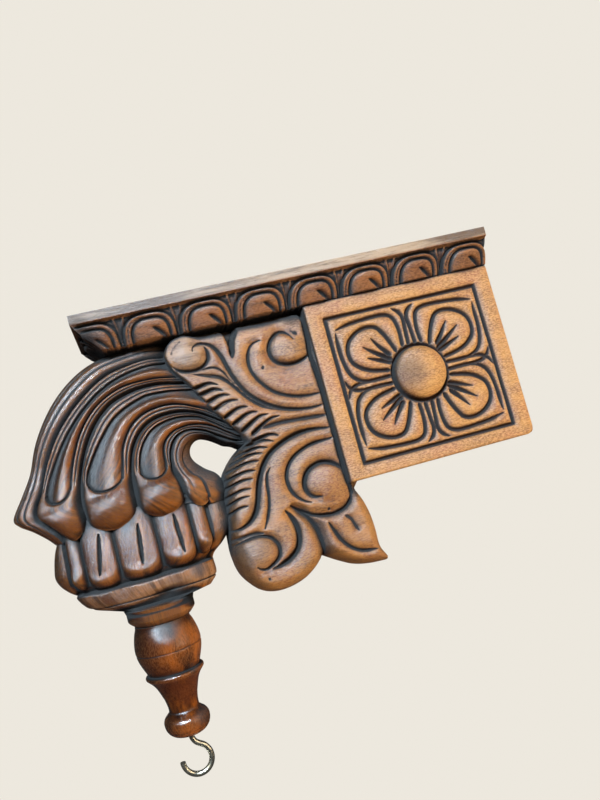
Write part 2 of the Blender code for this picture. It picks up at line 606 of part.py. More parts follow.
def block():
    """The block that meets the wall, with a four-petal flower on each face."""
    top = BODY_TOP + TRIM_ROOM
    foot = -BLOCK_HEIGHT / 2
    worn = BLOCK_WORN_CORNER
    outline = np.array([(0, top), (0, foot + worn), (-worn * 0.3, foot + worn * 0.3), (-worn, foot),
                        (-BLOCK_WIDTH, foot), (-BLOCK_WIDTH, top)])
    centre = np.array([-FLOWER_CENTRE[0] / DRAWN_BLOCK * BLOCK_WIDTH,
                       BODY_TOP - (FLOWER_CENTRE[1] - DRAWN_SHELF) / DRAWN_BLOCK_TALL * BLOCK_HEIGHT])
    half_wide = FLOWER_FRAME[0] / DRAWN_BLOCK * BLOCK_WIDTH
    half_tall = FLOWER_FRAME[1] / DRAWN_BLOCK_TALL * BLOCK_HEIGHT

    grooves = []
    corners = [(1, 1), (-1, 1), (-1, -1), (1, -1), (1, 1)]
    frame = np.array([centre + (a * half_wide, b * half_tall) for a, b in corners])
    grooves.append(Groove(frame, GROOVE_WIDTH * 0.8, GROOVE_DEPTH * 0.8, False, False))
    turn = [math.tau * k / 14 for k in range(15)]
    ring = np.array([centre + (BOSS_RADIUS * math.cos(a), BOSS_RADIUS * math.sin(a)) for a in turn])
    grooves.append(Groove(ring, GROOVE_WIDTH, GROOVE_DEPTH, False, False))
    for side in (1, -1):
        for rise in (1, -1):
            flip = np.array([-side, rise]) * FLOWER_RADIUS
            for drawing, closed in ((PETAL_EDGE, False), (PETAL_SIDE, False), (PETAL_RIM, False),
                                    (PETAL_LOOP, True), (PETAL_VEIN, False)):
                points = drawing + drawing[:1] if closed else drawing
                line = centre + smooth(points, PETAL_STEP) * flip
                grooves.append(Groove(line, GROOVE_WIDTH * 0.7, GROOVE_DEPTH * 0.8,
                                      not closed, not closed))

    def half_depth(points):
        away = np.linalg.norm(points - centre, axis=1) / BOSS_RADIUS
        dome = BOSS_RISE * np.sqrt(np.clip(1 - (away / 0.9) ** 2, 0, 1))
        cuts = [groove.cut(points) for groove in grooves]
        return HALF_BLOCK + dome - np.max(cuts, axis=0)

    lines = []
    for groove in grooves:
        lines += groove.lines()
    spokes = [math.tau * k / 10 for k in range(10)]
    loose = [centre] + [centre + (BOSS_RADIUS * 0.72 * math.cos(a), BOSS_RADIUS * 0.72 * math.sin(a))
                        for a in spokes]
    return carved_slab("block", outline, lines, loose, half_depth)


def use_modifier(target, kind, operand):
    """Join or cut target with operand, and delete the operand."""
    modifier = target.modifiers.new(kind.title(), "BOOLEAN")
    modifier.operation = kind
    modifier.solver = "EXACT"
    modifier.object = operand
    depsgraph = bpy.context.evaluated_depsgraph_get()
    result = bpy.data.meshes.new_from_object(target.evaluated_get(depsgraph))
    target.modifiers.remove(modifier)
    target.data = result
    bpy.data.objects.remove(operand)


def trim_box():
    """What lies above the body's top, which is cut off level under the moulding."""
    mesh = bmesh.new()
    bmesh.ops.create_cube(mesh, size=1.0)
    size = (MOULDING_LENGTH * 3, BODY_THICKNESS * 3, BLOCK_HEIGHT)
    bmesh.ops.scale(mesh, vec=size, verts=mesh.verts)
    bmesh.ops.translate(mesh, vec=(0, 0, BODY_TOP + BLOCK_HEIGHT / 2), verts=mesh.verts)
    return finish_mesh("trim_box", mesh)


def material(name, colour, roughness, metallic):
    made = bpy.data.materials.new(name)
    made.use_nodes = True
    shader = made.node_tree.nodes["Principled BSDF"]
    shader.inputs["Base Color"].default_value = (*colour, 1)
    shader.inputs["Roughness"].default_value = roughness
    shader.inputs["Metallic"].default_value = metallic
    made.diffuse_color = (*colour, 1)
    return made


def carved_body(wood):
    """Block, leaves, arm, bell and collar, carved from one piece."""
    body = leaf_slab()
    body.name = "carved_body"
    use_modifier(body, "UNION", arm())
    use_modifier(body, "UNION", lower_bell())
    use_modifier(body, "UNION", block())
    use_modifier(body, "DIFFERENCE", trim_box())
    body.data.materials.clear()
    body.data.materials.append(wood)
    body.data.set_sharp_from_angle(angle=math.radians(35))
    return body


# The turned drop's parts, as shares of its radii and its length
BALL_MIDDLE = 0.215
BALL_TALL = 0.28
LIP = [(0.90, 0.452), (0.88, 0.474)]
WAIST = [(1.60, 0.50), (1.27, 0.60), (1.06, 0.69), (1.0, 0.765)]
BUN = [(0.86, 0.80), (1.0, 0.86), (1.0, 0.91), (0.84, 0.97), (0.5, 1.0)]

# The moulding's side, as (share of the overhang, share of the height down)
MOULDING_SIDE = [(1.0, 0.0), (1.0, 0.26), (0.92, 0.30), (0.83, 0.42), (0.60, 0.60), (0.28, 0.80),
                 (0.0, 1.0)]
FILLET_SHARE = 0.26
FIRST_EGG = 0.0135
EGG_HALF_WIDTH = 0.31
EGG_TOP = 0.38
PETAL_HALF_WIDTH = 0.43
PETAL_TOP = 0.29
EGG_TIP = 0.05
RIM_TIP = 0.04


def arch(down, top):
    """Half width of an arch at a share of the height down, as a share of its width at the foot."""
    if down <= top:
        return 0.0
    return math.sqrt(1 - ((1 - down) / (1 - top)) ** 2)


def egg_columns(down):
    """Across one unit of the moulding: (share of the pitch from the egg's middle, push)."""
    egg, petal = arch(down, EGG_TOP), arch(down, PETAL_TOP)
    edge = max(EGG_HALF_WIDTH * egg, EGG_TIP)
    rim = max(PETAL_HALF_WIDTH * petal, edge + RIM_TIP)
    groove = EGG_GROOVE_DEPTH if down > EGG_TOP else 0.0
    dart = EGG_GROOVE_DEPTH if down > FILLET_SHARE else 0.0
    rise = EGG_RISE * egg
    half = [(0.5, -dart), (rim, 0.0), (edge, -groove), (edge * 0.6, rise * 0.75)]
    return [(-offset, push) for offset, push in half] + [(0.0, rise)] + [
        (offset, push) for offset, push in reversed(half[1:])]


def moulding_column(side, unit, index):
    """One line down the moulding's front, back or outer end. index counts along the unit."""
    under = BODY_TOP + FIT_GAP
    column = []
    for share, down in MOULDING_SIDE:
        offset, push = egg_columns(down)[index]
        end = -MOULDING_LENGTH + MOULDING_END_OVERHANG * (1 - share)
        face = HALF_BLOCK + MOULDING_OVERHANG * share + push
        z = under + MOULDING_HEIGHT * (1 - down)
        if side == 0:
            column.append((end - push, offset * EGG_PITCH, z))
        else:
            column.append((-FIRST_EGG - (unit + offset) * EGG_PITCH, side * face, z))
    return column


def moulding_edge(side, at_wall):
    """The line down the moulding at the wall or at its outer corner."""
    under = BODY_TOP + FIT_GAP
    column = []
    for share, down in MOULDING_SIDE:
        push = 0.0 if at_wall else EGG_RISE * arch(down, EGG_TOP) / 2
        face = HALF_BLOCK + MOULDING_OVERHANG * share + push
        end = 0.0 if at_wall else -MOULDING_LENGTH + MOULDING_END_OVERHANG * (1 - share) - push
        column.append((end, side * face, under + MOULDING_HEIGHT * (1 - down)))
    return column


def top_moulding(wood):
    """The shelf moulding, with a row of petals on its front, back and outer end."""
    places = [(0, index) for index in range(2, 8)]
    last = round((MOULDING_LENGTH - FIRST_EGG) / EGG_PITCH)
    places += [(unit, index) for unit in range(1, last) for index in range(8)]
    places += [(last, index) for index in range(3)]
    front = [moulding_edge(-1, True)]
    front += [moulding_column(-1, unit, index) for unit, index in places]
    front.append(moulding_edge(-1, False))
    outer_end = [moulding_column(0, 0, index) for index in range(8)]
    half_unit = [(point[0], -point[1], point[2]) for point in outer_end[0]]
    outer_end.append(half_unit)
    back = [moulding_edge(1, False)]
    back += [moulding_column(1, unit, index) for unit, index in reversed(places)]
    back.append(moulding_edge(1, True))
    columns = front + outer_end + back

    mesh = bmesh.new()
    grid = [[mesh.verts.new(point) for point in column] for column in columns]
    for left, right in zip(grid, grid[1:]):
        for i in range(len(MOULDING_SIDE) - 1):
            mesh.faces.new((left[i], left[i + 1], right[i + 1], right[i]))
    count = len(front)
    for level in (0, -1):
        rim = [column[level] for column in grid]
        for i in range(count - 1):
            mesh.faces.new((rim[i], rim[i + 1], rim[-2 - i], rim[-1 - i]))
        mesh.faces.new(rim[count - 1:len(rim) - count + 1])
    mesh.faces.new(grid[0] + grid[-1][::-1])
    made = finish_mesh("top_moulding", mesh)
    made.data.materials.append(wood)
    made.data.set_sharp_from_angle(angle=math.radians(35))
    return made


def drop_profile():
    """Radius and height below the collar along the turned drop's side, from top to bottom."""
    ball, neck, bun = DROP_BALL_RADIUS, DROP_NECK_RADIUS, DROP_BUN_RADIUS
    rows = [(0.0, 0.0)]
    for turn in range(-50, 51, 20):
        angle = math.radians(turn)
        rows.append((ball * math.cos(angle * 0.72), BALL_MIDDLE + BALL_TALL * math.sin(angle)))
    rows += [(ball * wide, drop) for wide, drop in LIP]
    rows += [(neck * wide, drop) for wide, drop in WAIST]
    rows += [(bun * wide, drop) for wide, drop in BUN]
    rows.append((0.0, 1.0))
    return [(radius, -drop * DROP_LENGTH) for radius, drop in rows]


def turned_drop(wood):
    """The lathe-turned drop: a ball, a flared lip, a waist and a bun."""
    axis = place([(DRAWN_DROP_AXIS, DRAWN_COLLAR_FOOT)])[0]
    data = bpy.data.meshes.new("turned_drop")
    profile = drop_profile()
    data.from_pydata([(radius, 0, z) for radius, z in profile],
                     [(i, i + 1) for i in range(len(profile) - 1)], [])
    made = bpy.data.objects.new("turned_drop", data)
    bpy.context.scene.collection.objects.link(made)
    made.location = (axis[0], 0, axis[1] - FIT_GAP)
    screw = made.modifiers.new("Screw", "SCREW")
    screw.steps = DROP_SIDES
    screw.render_steps = DROP_SIDES
    screw.use_merge_vertices = True
    screw.merge_threshold = 0.00005
    made.data.materials.append(wood)
    return made


def hook_route():
    """The centre of the wire: down from the drop, then most of a turn round an eye."""
    axis = place([(DRAWN_DROP_AXIS, DRAWN_COLLAR_FOOT)])[0]
    x = axis[0]
    top = axis[1] - FIT_GAP * 2 - DROP_LENGTH
    centre = top - HOOK_SHANK - HOOK_RADIUS
    points = [(x, top), (x, top - HOOK_SHANK * 0.4)]
    points.append((x + HOOK_RADIUS * 0.16, top - HOOK_SHANK * 0.85))
    start, end = 62, -183
    count = 16
    for k in range(count + 1):
        angle = math.radians(start + (end - start) * k / count)
        points.append((x + HOOK_RADIUS * math.cos(angle), centre + HOOK_RADIUS * math.sin(angle)))
    return points


def screw_hook(metal):
    """The bent wire hook under the drop."""
    curve = bpy.data.curves.new("screw_hook", "CURVE")
    curve.dimensions = "3D"
    curve.bevel_depth = WIRE_DIAMETER / 2
    curve.bevel_resolution = 2
    curve.use_fill_caps = True
    route = hook_route()
    spline = curve.splines.new("POLY")
    spline.points.add(len(route) - 1)
    for point, (x, z) in zip(spline.points, route):
        point.co = (x, 0, z, 1)
    made = bpy.data.objects.new("screw_hook", curve)
    bpy.context.scene.collection.objects.link(made)
    curve.materials.append(metal)
    return made


def build():
    for old in list(bpy.data.objects):
        bpy.data.objects.remove(old)
    carved_body(material("carved_wood", (0.30, 0.17, 0.085), 0.5, 0.0))
    top_moulding(material("moulding_wood", (0.23, 0.14, 0.08), 0.6, 0.0))
    turned_drop(material("turned_wood", (0.20, 0.075, 0.035), 0.35, 0.0))
    screw_hook(material("hook_steel", (0.60, 0.56, 0.48), 0.3, 1.0))


build()
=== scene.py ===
"""Looks of the carved wooden wall bracket: its fine carving, stained and worn wood, light and camera.

Metres, in the part's own frame: the wall is the plane x = 0, the arm reaches out along -X, +Z up.
The carving is drawn in millimetres as (reach from the wall, drop below the shelf's top).
"""

import math

import bmesh
import bpy
import numpy as np
from mathutils import Matrix, Vector, noise
from mathutils.geometry import delaunay_2d_cdt


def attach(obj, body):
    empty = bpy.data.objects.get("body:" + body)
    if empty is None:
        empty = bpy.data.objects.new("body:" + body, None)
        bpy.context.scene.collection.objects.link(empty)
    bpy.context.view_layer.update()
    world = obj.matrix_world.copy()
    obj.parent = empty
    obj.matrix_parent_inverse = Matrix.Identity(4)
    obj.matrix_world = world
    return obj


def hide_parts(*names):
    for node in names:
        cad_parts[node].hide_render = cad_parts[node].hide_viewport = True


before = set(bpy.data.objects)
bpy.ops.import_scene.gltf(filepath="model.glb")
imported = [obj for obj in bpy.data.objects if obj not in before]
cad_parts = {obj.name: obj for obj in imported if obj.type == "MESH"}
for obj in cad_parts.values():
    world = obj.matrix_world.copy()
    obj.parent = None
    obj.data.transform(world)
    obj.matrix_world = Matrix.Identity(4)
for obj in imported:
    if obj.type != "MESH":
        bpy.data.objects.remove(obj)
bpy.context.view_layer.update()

# Sizes shared with the solids, in metres
BLOCK_WIDTH = 0.1195
BLOCK_HEIGHT = 0.1068
BLOCK_WORN_CORNER = 0.0030
CARVING_REACH = 0.1880
HALF_BLOCK = 0.023
HALF_LEAF = 0.0202
HALF_ARM = 0.0198
BODY_TOP = BLOCK_HEIGHT / 2
FIT_GAP = 0.0003

# Where the same places lie in the drawing, in millimetres
DRAWN_BLOCK = 119.5
DRAWN_BLOCK_TALL = 106.8
DRAWN_SHELF = 20.2
DRAWN_REACH = 186.2
DRAWN_DROP_AXIS = 242.1
DRAWN_COLLAR_AXIS = 241.2
DRAWN_COLLAR_FOOT = 173.0
SCALE = CARVING_REACH / DRAWN_REACH
MM = 0.001

# How wide the wood sinks beside a cut, and how close the points of a cut's line lie
SOFT_WIDTH = 0.0027
LINE_STEP = 0.0016
# Rows of a triangular grid as a share of its step, rings of points inside an edge, rows of points on a wall
TRIANGLE_ROW = 0.866
EDGE_RINGS = (0.00025, 0.0006, 0.0011, 0.0018, 0.0027)
WALL_SHARES = (0.6, 0.2, -0.2, -0.6)
# The least length or slope that is divided by
TINY = 1e-12

# Rounds of evening out that find the carving's fine and broad depth, and the largest smooth angle in degrees
FINE_TURNS = 5
BROAD_TURNS = 40
SHARP_ANGLE = 62


def place(points):
    """Turn drawn points (reach, drop) into x and z in metres."""
    drawn = np.asarray(points, dtype=float)
    x = -BLOCK_WIDTH - (drawn[..., 0] - DRAWN_BLOCK) * SCALE
    z = BODY_TOP - (drawn[..., 1] - DRAWN_SHELF) * SCALE
    return np.stack([x, z], axis=-1)


def away_from(points, centre):
    """How far each point lies from a drawn place, seen from the side."""
    return np.linalg.norm(points[:, [0, -1]] - place(centre), axis=1)


def curve_point(p0, p1, p2, p3, t):
    """A point at t, from 0 to 1, between p1 and p2, on a smooth curve that passes through all four."""
    bend = (2 * p0 - 5 * p1 + 4 * p2 - p3) * t + (3 * p1 - p0 - 3 * p2 + p3) * t * t
    return 0.5 * (2 * p1 + (p2 - p0) * t + bend * t)


def smooth(points, step):
    """A smooth curve through the points, sampled about every step."""
    points = np.asarray(points, dtype=float)
    before = 2 * points[0] - points[1]
    after = 2 * points[-1] - points[-2]
    padded = np.vstack([before, points, after])
    samples = [points[0]]
    for i in range(1, len(padded) - 2):
        p0, p1, p2, p3 = padded[i - 1:i + 3]
        count = max(1, round(float(np.linalg.norm(p2 - p1)) / step))
        samples += [curve_point(p0, p1, p2, p3, k / count) for k in range(1, count + 1)]
    return np.array(samples)


def line_distance(points, line):
    """Signed distance of each point from a polyline, and how far along the line it is, from 0 to 1."""
    starts, spans = line[:-1], line[1:] - line[:-1]
    lengths = np.maximum(np.linalg.norm(spans, axis=1), TINY)
    offset = points[:, None] - starts[None]
    along = np.clip(np.einsum("nkd,kd->nk", offset, spans) / lengths ** 2, 0, 1)
    nearest = starts[None] + along[..., None] * spans[None]
    gaps = np.linalg.norm(points[:, None] - nearest, axis=2)
    best = np.argmin(gaps, axis=1)
    rows = np.arange(len(points))
    side = spans[best, 0] * offset[rows, best, 1] - spans[best, 1] * offset[rows, best, 0]
    travelled = np.concatenate([[0], np.cumsum(lengths)])
    share = (travelled[best] + along[rows, best] * lengths[best]) / travelled[-1]
    return gaps[rows, best] * np.where(side < 0, -1, 1), share


def inside(points, outline):
    """Whether each point is inside a closed outline."""
    result = np.zeros(len(points), dtype=bool)
    x, z = points[:, 0], points[:, 1]
    for a, b in zip(outline, np.roll(outline, -1, axis=0)):
        straddles = (a[1] > z) != (b[1] > z)
        rise = b[1] - a[1] if abs(b[1] - a[1]) > TINY else TINY
        result ^= straddles & (x < a[0] + (z - a[1]) * (b[0] - a[0]) / rise)
    return result


def ease(value, low, high):
    """A smooth step from 0 at low to 1 at high."""
    t = np.clip((value - low) / (high - low), 0, 1)
    return t * t * (3 - 2 * t)


def hump(away, width):
    """A value that is 1 where away is 0 and dies out over about twice the width."""
    return np.exp(-(away / width) ** 2)


def rough(points, size):
    """Uneven values from about -1 to 1, which change over the given size."""
    return np.array([noise.noise(Vector(point) / size) for point in points])


def unevenness(points, scales):
    """Rough values of several sizes added up, each given as its height and size."""
    return sum(height * rough(points, size) for height, size in scales)


class Cut:
    """A carved line. Its core is a rounded cut, and round it the wood sinks softly.

    left and right widen the soft part on one side of the line, looking along it.
    """

    def __init__(self, points, width, depth, sink=0.5, left=1.0, right=1.0, taper=(0.2, 0.2), drawn=True):
        line = place(points) if drawn else np.asarray(points, dtype=float)
        self.line = smooth(line, LINE_STEP)
        self.half = width * MM / 2
        self.depth = depth * MM
        self.sink = sink * MM
        self.soft = np.array([right, left]) * SOFT_WIDTH
        self.taper = taper

    def near(self, points, room):
        """Which points lie in the box round the line, with some room."""
        low = self.line.min(axis=0) - room
        high = self.line.max(axis=0) + room
        return np.all((points > low) & (points < high), axis=1)

    def fullness(self, share):
        """How full the cut is along its line, which runs out at tapered ends."""
        full = np.ones_like(share)
        if self.taper[0]:
            full = np.minimum(full, share / self.taper[0])
        if self.taper[1]:
            full = np.minimum(full, (1 - share) / self.taper[1])
        return np.sqrt(np.clip(full, 0, 1))

    def apply(self, points, core, soft):
        """Deepen the core and soft sinking at the points."""
        chosen = self.near(points, max(self.half, 3 * self.soft.max()))
        if not chosen.any():
            return
        gap, share = line_distance(points[chosen], self.line)
        full = self.fullness(share)
        half = np.maximum(self.half * full, 1e-7)
        deep = self.depth * full * np.clip(1 - (gap / half) ** 2, 0, 1)
        wide = np.where(gap > 0, self.soft[1], self.soft[0])
        low = self.sink * full * hump(gap, wide)
        core[chosen] = np.maximum(core[chosen], deep)
        soft[chosen] = np.maximum(soft[chosen], low)


def cut_depth(cuts, points):
    """How far all the cuts sink the points."""
    core = np.zeros(len(points))
    soft = np.zeros(len(points))
    for cut in cuts:
        cut.apply(points, core, soft)
    return core, soft


def grid_points(low, high, step):
    """Points of a triangular grid over a rectangle."""
    rows = []
    z = low[1]
    odd = False
    while z < high[1]:
        x = np.arange(low[0] + (step / 2 if odd else 0), high[0], step)
        rows.append(np.stack([x, np.full_like(x, z)], axis=1))
        z += step * TRIANGLE_ROW
        odd = not odd
    return np.vstack(rows)


def close_line(outline):
    """An outline with its first point once more at its end."""
    return np.vstack([outline, outline[:1]])


def face_points(outline, cuts, coarse, fine):
    """Points to mesh a carved face with: close together along its edge and its cuts."""
    closed = close_line(outline)
    low, high = outline.min(axis=0), outline.max(axis=0)
    chosen = []
    for step in (fine, coarse):
        points = grid_points(low, high, step)
        close = np.zeros(len(points), dtype=bool)
        for cut in cuts:
            near = cut.near(points, cut.half + fine)
            gap, _ = line_distance(points[near], cut.line)
            close[near] |= np.abs(gap) < cut.half + fine * 0.8
        points = points[close if step == fine else ~close]
        points = points[inside(points, outline)]
        gap = edge_gap(points, closed)
        chosen.append(points[gap > (step * 0.45 if step == fine else EDGE_RINGS[-1])])
    for offset in EDGE_RINGS:
        ring = offset_ring(outline, offset)
        gap = edge_gap(ring, closed)
        ring = ring[inside(ring, outline) & (gap > 0.97 * offset)]
        chosen.insert(0, ring)
    return thin_out(np.vstack(chosen), fine * 0.55)


def edge_gap(points, closed):
    """Distance of each point from a closed outline, worked out in parts to save memory."""
    parts = np.array_split(points, max(1, len(points) // 2000))
    return np.concatenate([np.abs(line_distance(part, closed)[0]) for part in parts])


def offset_ring(outline, offset):
    """A copy of a closed outline, moved inwards."""
    before, after = np.roll(outline, 1, axis=0), np.roll(outline, -1, axis=0)
    tangents = after - before
    tangents /= np.maximum(np.linalg.norm(tangents, axis=1), TINY)[:, None]
    normals = np.stack([-tangents[:, 1], tangents[:, 0]], axis=1)
    area = np.sum(outline[:, 0] * np.roll(outline[:, 1], -1) - np.roll(outline[:, 0], -1) * outline[:, 1])
    return outline + normals * offset * np.sign(area)


def thin_out(points, clearance):
    """Keep one point of those that crowd in the same cell of a grid."""
    cells = np.floor(points / clearance).astype(np.int64)
    keys = cells[:, 0] * 1000003 + cells[:, 1]
    _, first = np.unique(keys, return_index=True)
    return points[np.sort(first)]


def slab(outline, cuts, half_depth, coarse, fine):
    """A closed slab with the same carving on both faces."""
    loose = face_points(outline, cuts, coarse, fine)
    coords = [tuple(point) for point in np.vstack([outline, loose])]
    flat, _, triangles, _, _, _ = delaunay_2d_cdt(coords, [], [list(range(len(outline)))], 1, 1e-6)
    flat = np.array([tuple(point) for point in flat])
    triangles = np.array(triangles)
    heights = half_depth(flat)
    count = len(flat)
    points = [np.stack([flat[:, 0], side * heights, flat[:, 1]], axis=1) for side in (-1, 1)]
    faces = [tuple(face) for face in np.vstack([triangles, triangles[:, ::-1] + count])]
    directed = np.vstack([triangles[:, [0, 1]], triangles[:, [1, 2]], triangles[:, [2, 0]]])
    pairs = set(map(tuple, directed))
    border = [edge for edge in pairs if (edge[1], edge[0]) not in pairs]
    columns = {}
    total = 2 * count
    for a, _ in border:
        x, z = flat[a]
        points.append(np.array([(x, -heights[a] * share, z) for share in WALL_SHARES]))
        columns[a] = [a, *range(total, total + len(WALL_SHARES)), a + count]
        total += len(WALL_SHARES)
    for a, b in border:
        for k in range(len(columns[a]) - 1):
            faces.append((columns[b][k], columns[a][k], columns[a][k + 1], columns[b][k + 1]))
    return np.vstack(points), faces


def tube_grid(rows):
    """Faces of a closed loft through rings of equal count, with a cap on each end."""
    count, size = len(rows), len(rows[0])
    points = np.vstack(rows)
    index = np.arange(count * size).reshape(count, size)
    near, far = index[:-1], index[1:]
    quads = np.stack([near, np.roll(near, -1, axis=1), np.roll(far, -1, axis=1), far], axis=-1).reshape(-1, 4)
    faces = [tuple(quad) for quad in quads]
    faces.append(tuple(index[0][::-1]))
    faces.append(tuple(index[-1]))
    return points, faces


def wood_piece(name, points, faces, material, node, grain=None, bare_and_sheen=None):
    """A smooth mesh with its faces outwards, which stands for a solid."""
    data = bpy.data.meshes.new(name)
    data.from_pydata([tuple(point) for point in points], [], faces)
    mesh = bmesh.new()
    mesh.from_mesh(data)
    bmesh.ops.recalc_face_normals(mesh, faces=mesh.faces)
    mesh.to_mesh(data)
    mesh.free()
    data.shade_smooth()
    data.set_sharp_from_angle(angle=math.radians(SHARP_ANGLE))
    data.materials.append(material)
    where = read(data.vertices, "co", 3)
    store(data, "grain", where if grain is None else grain)
    store_depths(data)
    # Painted shade: how dark each point is painted in hollows, under overhangs and on sides turned from the
    # light
    store(data, "painted_shade", painted_shade_amount(where, PAINTED_SHADE.get(name, [])))
    # A pale grey share for each point: bare wood, a painted sheen on the leaves and a painted highlight on
    # the fillet's top.
    store(data, "bare_and_sheen", np.zeros(len(points)) if bare_and_sheen is None else bare_and_sheen(np.asarray(points)))
    made = bpy.data.objects.new(name, data)
    bpy.context.scene.collection.objects.link(made)
    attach(made, "root")
    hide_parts(node)
    print("piece", name, len(data.vertices), "points", sum(len(face) - 2 for face in faces), "triangles")


def read(items, field, width, kind=np.float32):
    """A field of a mesh's points, normals or edges as an array."""
    values = np.empty(len(items) * width, dtype=kind)
    items.foreach_get(field, values)
    return values.reshape(-1, width)


def store(data, name, values):
    """Keep a number or a vector for each point, which the materials read."""
    kind, field = ("FLOAT_VECTOR", "vector") if np.ndim(values) == 2 else ("FLOAT", "value")
    stored = data.attributes.new(name, kind, "POINT")
    stored.data.foreach_set(field, np.asarray(values, dtype=np.float32).ravel())


def store_depths(data):
    """Keep how deep each point lies below the wood round it, in millimetres, at a fine and a broad scale."""
    co = read(data.vertices, "co", 3).astype(float)
    normals = read(data.vertex_normals, "vector", 3)
    edges = read(data.edges, "vertices", 2, np.int32)
    ends = np.concatenate([edges[:, 0], edges[:, 1]])
    others = np.concatenate([edges[:, 1], edges[:, 0]])
    count = len(co)
    degree = np.maximum(np.bincount(ends, minlength=count), 1)
    evened = co.copy()
    for turn in range(1, BROAD_TURNS + 1):
        sums = [np.bincount(ends, weights=evened[others, k], minlength=count) for k in range(3)]
        evened = np.stack(sums, axis=1) / degree[:, None]
        if turn in (FINE_TURNS, BROAD_TURNS):
            depth = np.sum((evened - co) * normals, axis=1) * 1000
            store(data, "fine_depth" if turn == FINE_TURNS else "broad_depth", depth)


# Painted shade in the eye, under overhangs, between parts and on sides turned from the light: middle, radius
# in millimetres, strength, and whether only the inside is shaded
LEAF_PAINTED_SHADE = [
    ((190.0, 90.0), 12.0, 1.0, True),
    ((127.0, 24.0), 6.0, 0.75, False),
    ((131.0, 21.0), 6.0, 0.5, False),
    ((170.5, 89.5), 5.0, 0.95, False),
    ((174.0, 82.0), 4.0, 0.7, False),
    ((118.5, 47.0), 5.0, 0.6, False),
    ((117.0, 131.0), 4.0, 0.8, False),
    ((164.0, 22.0), 6.0, 0.95, True),
    ((194.5, 146.0), 4.5, 0.5, False),
]
ARM_PAINTED_SHADE = [
    ((190.0, 89.0), 20.0, 1.0, True),
    ((172.0, 90.0), 8.0, 0.95, False),
    ((193.5, 96.5), 6.0, 0.95, False),
    ((190.5, 107.0), 5.5, 0.95, False),
    ((190.0, 118.0), 6.5, 0.95, False),
    ((192.0, 131.0), 6.0, 0.95, False),
    ((206.0, 22.0), 15.0, 0.75, False),
    ((200.0, 36.0), 7.0, 0.7, False),
    ((198.0, 52.0), 7.0, 0.5, False),
    ((229.0, 160.0), 6.5, 0.75, False),
    ((215.0, 150.5), 5.0, 0.6, False),
]
BLOCK_PAINTED_SHADE = [((68.0, 73.0), 9.0, 0.5, False)]
MOULDING_PAINTED_SHADE = [((247.0, 15.0), 12.0, 0.9, False)]
DROP_PAINTED_SHADE = [
    ((240.0, 176.0), 7.5, 0.7, False),
    ((231.0, 201.5), 3.5, 0.7, False),
    ((222.0, 201.5), 3.5, 0.6, False),
    ((232.0, 229.0), 6.0, 0.65, False),
]
PAINTED_SHADE = {"carved_leaves": LEAF_PAINTED_SHADE, "carved_arm": ARM_PAINTED_SHADE, "carved_bell": ARM_PAINTED_SHADE,
         "carved_block": BLOCK_PAINTED_SHADE, "petal_moulding": MOULDING_PAINTED_SHADE, "lathe_drop": DROP_PAINTED_SHADE}


def painted_shade_amount(points, places):
    """How dark each point is painted as shade."""
    shade_amount = np.zeros(len(points))
    for centre, radius, strength, only_inside in places:
        away = away_from(points, centre) / (radius * MM)
        here = strength * np.exp(-away ** 4)
        if only_inside:
            here = here * (1 - ease(np.abs(points[:, 1]) / HALF_ARM, 0.86, 0.98))
        shade_amount = np.maximum(shade_amount, here)
    return shade_amount


# The arm's sections: outer point, inner point, half depth as a share of the arm's, squareness
ARM_SECTIONS = [
    ((183.0, 17.0), (163.0, 92.5), 0.88, 3.0),
    ((196.0, 17.5), (172.5, 93.5), 0.96, 3.0),
    ((208.0, 18.0), (178.0, 89.7), 1.00, 3.0),
    ((221.0, 18.5), (183.5, 84.7), 1.00, 3.0),
    ((234.0, 19.4), (188.5, 81.0), 1.00, 3.0),
    ((246.5, 22.0), (193.2, 78.9), 1.00, 3.0),
    ((258.4, 28.0), (197.0, 79.0), 1.00, 3.0),
    ((269.7, 37.1), (200.2, 80.9), 1.00, 3.0),
    ((279.2, 48.3), (202.0, 83.6), 1.00, 3.0),
    ((286.9, 60.8), (202.5, 86.6), 1.00, 2.9),
    ((293.0, 75.2), (201.8, 89.4), 1.00, 2.8),
    ((300.0, 86.0), (200.0, 92.2), 1.02, 2.7),
    ((307.2, 96.9), (196.0, 96.3), 1.06, 2.6),
    ((305.3, 101.7), (190.8, 100.2), 1.12, 2.6),
    ((299.0, 106.4), (188.0, 105.0), 1.16, 2.6),
    ((292.4, 112.4), (187.0, 111.5), 1.11, 2.6),
    ((288.5, 117.0), (188.5, 116.4), 0.98, 2.6),
]
# Rows of that table: where the tongues end, where the bulbs swell and where the loft's rings lie closer
TONGUE_END = 12.0
SWELL_START = 11.1
SWELL_END = 15.8
CLOSE_ROWS_FROM = 10.6
BULB_LIFT = 0.0085

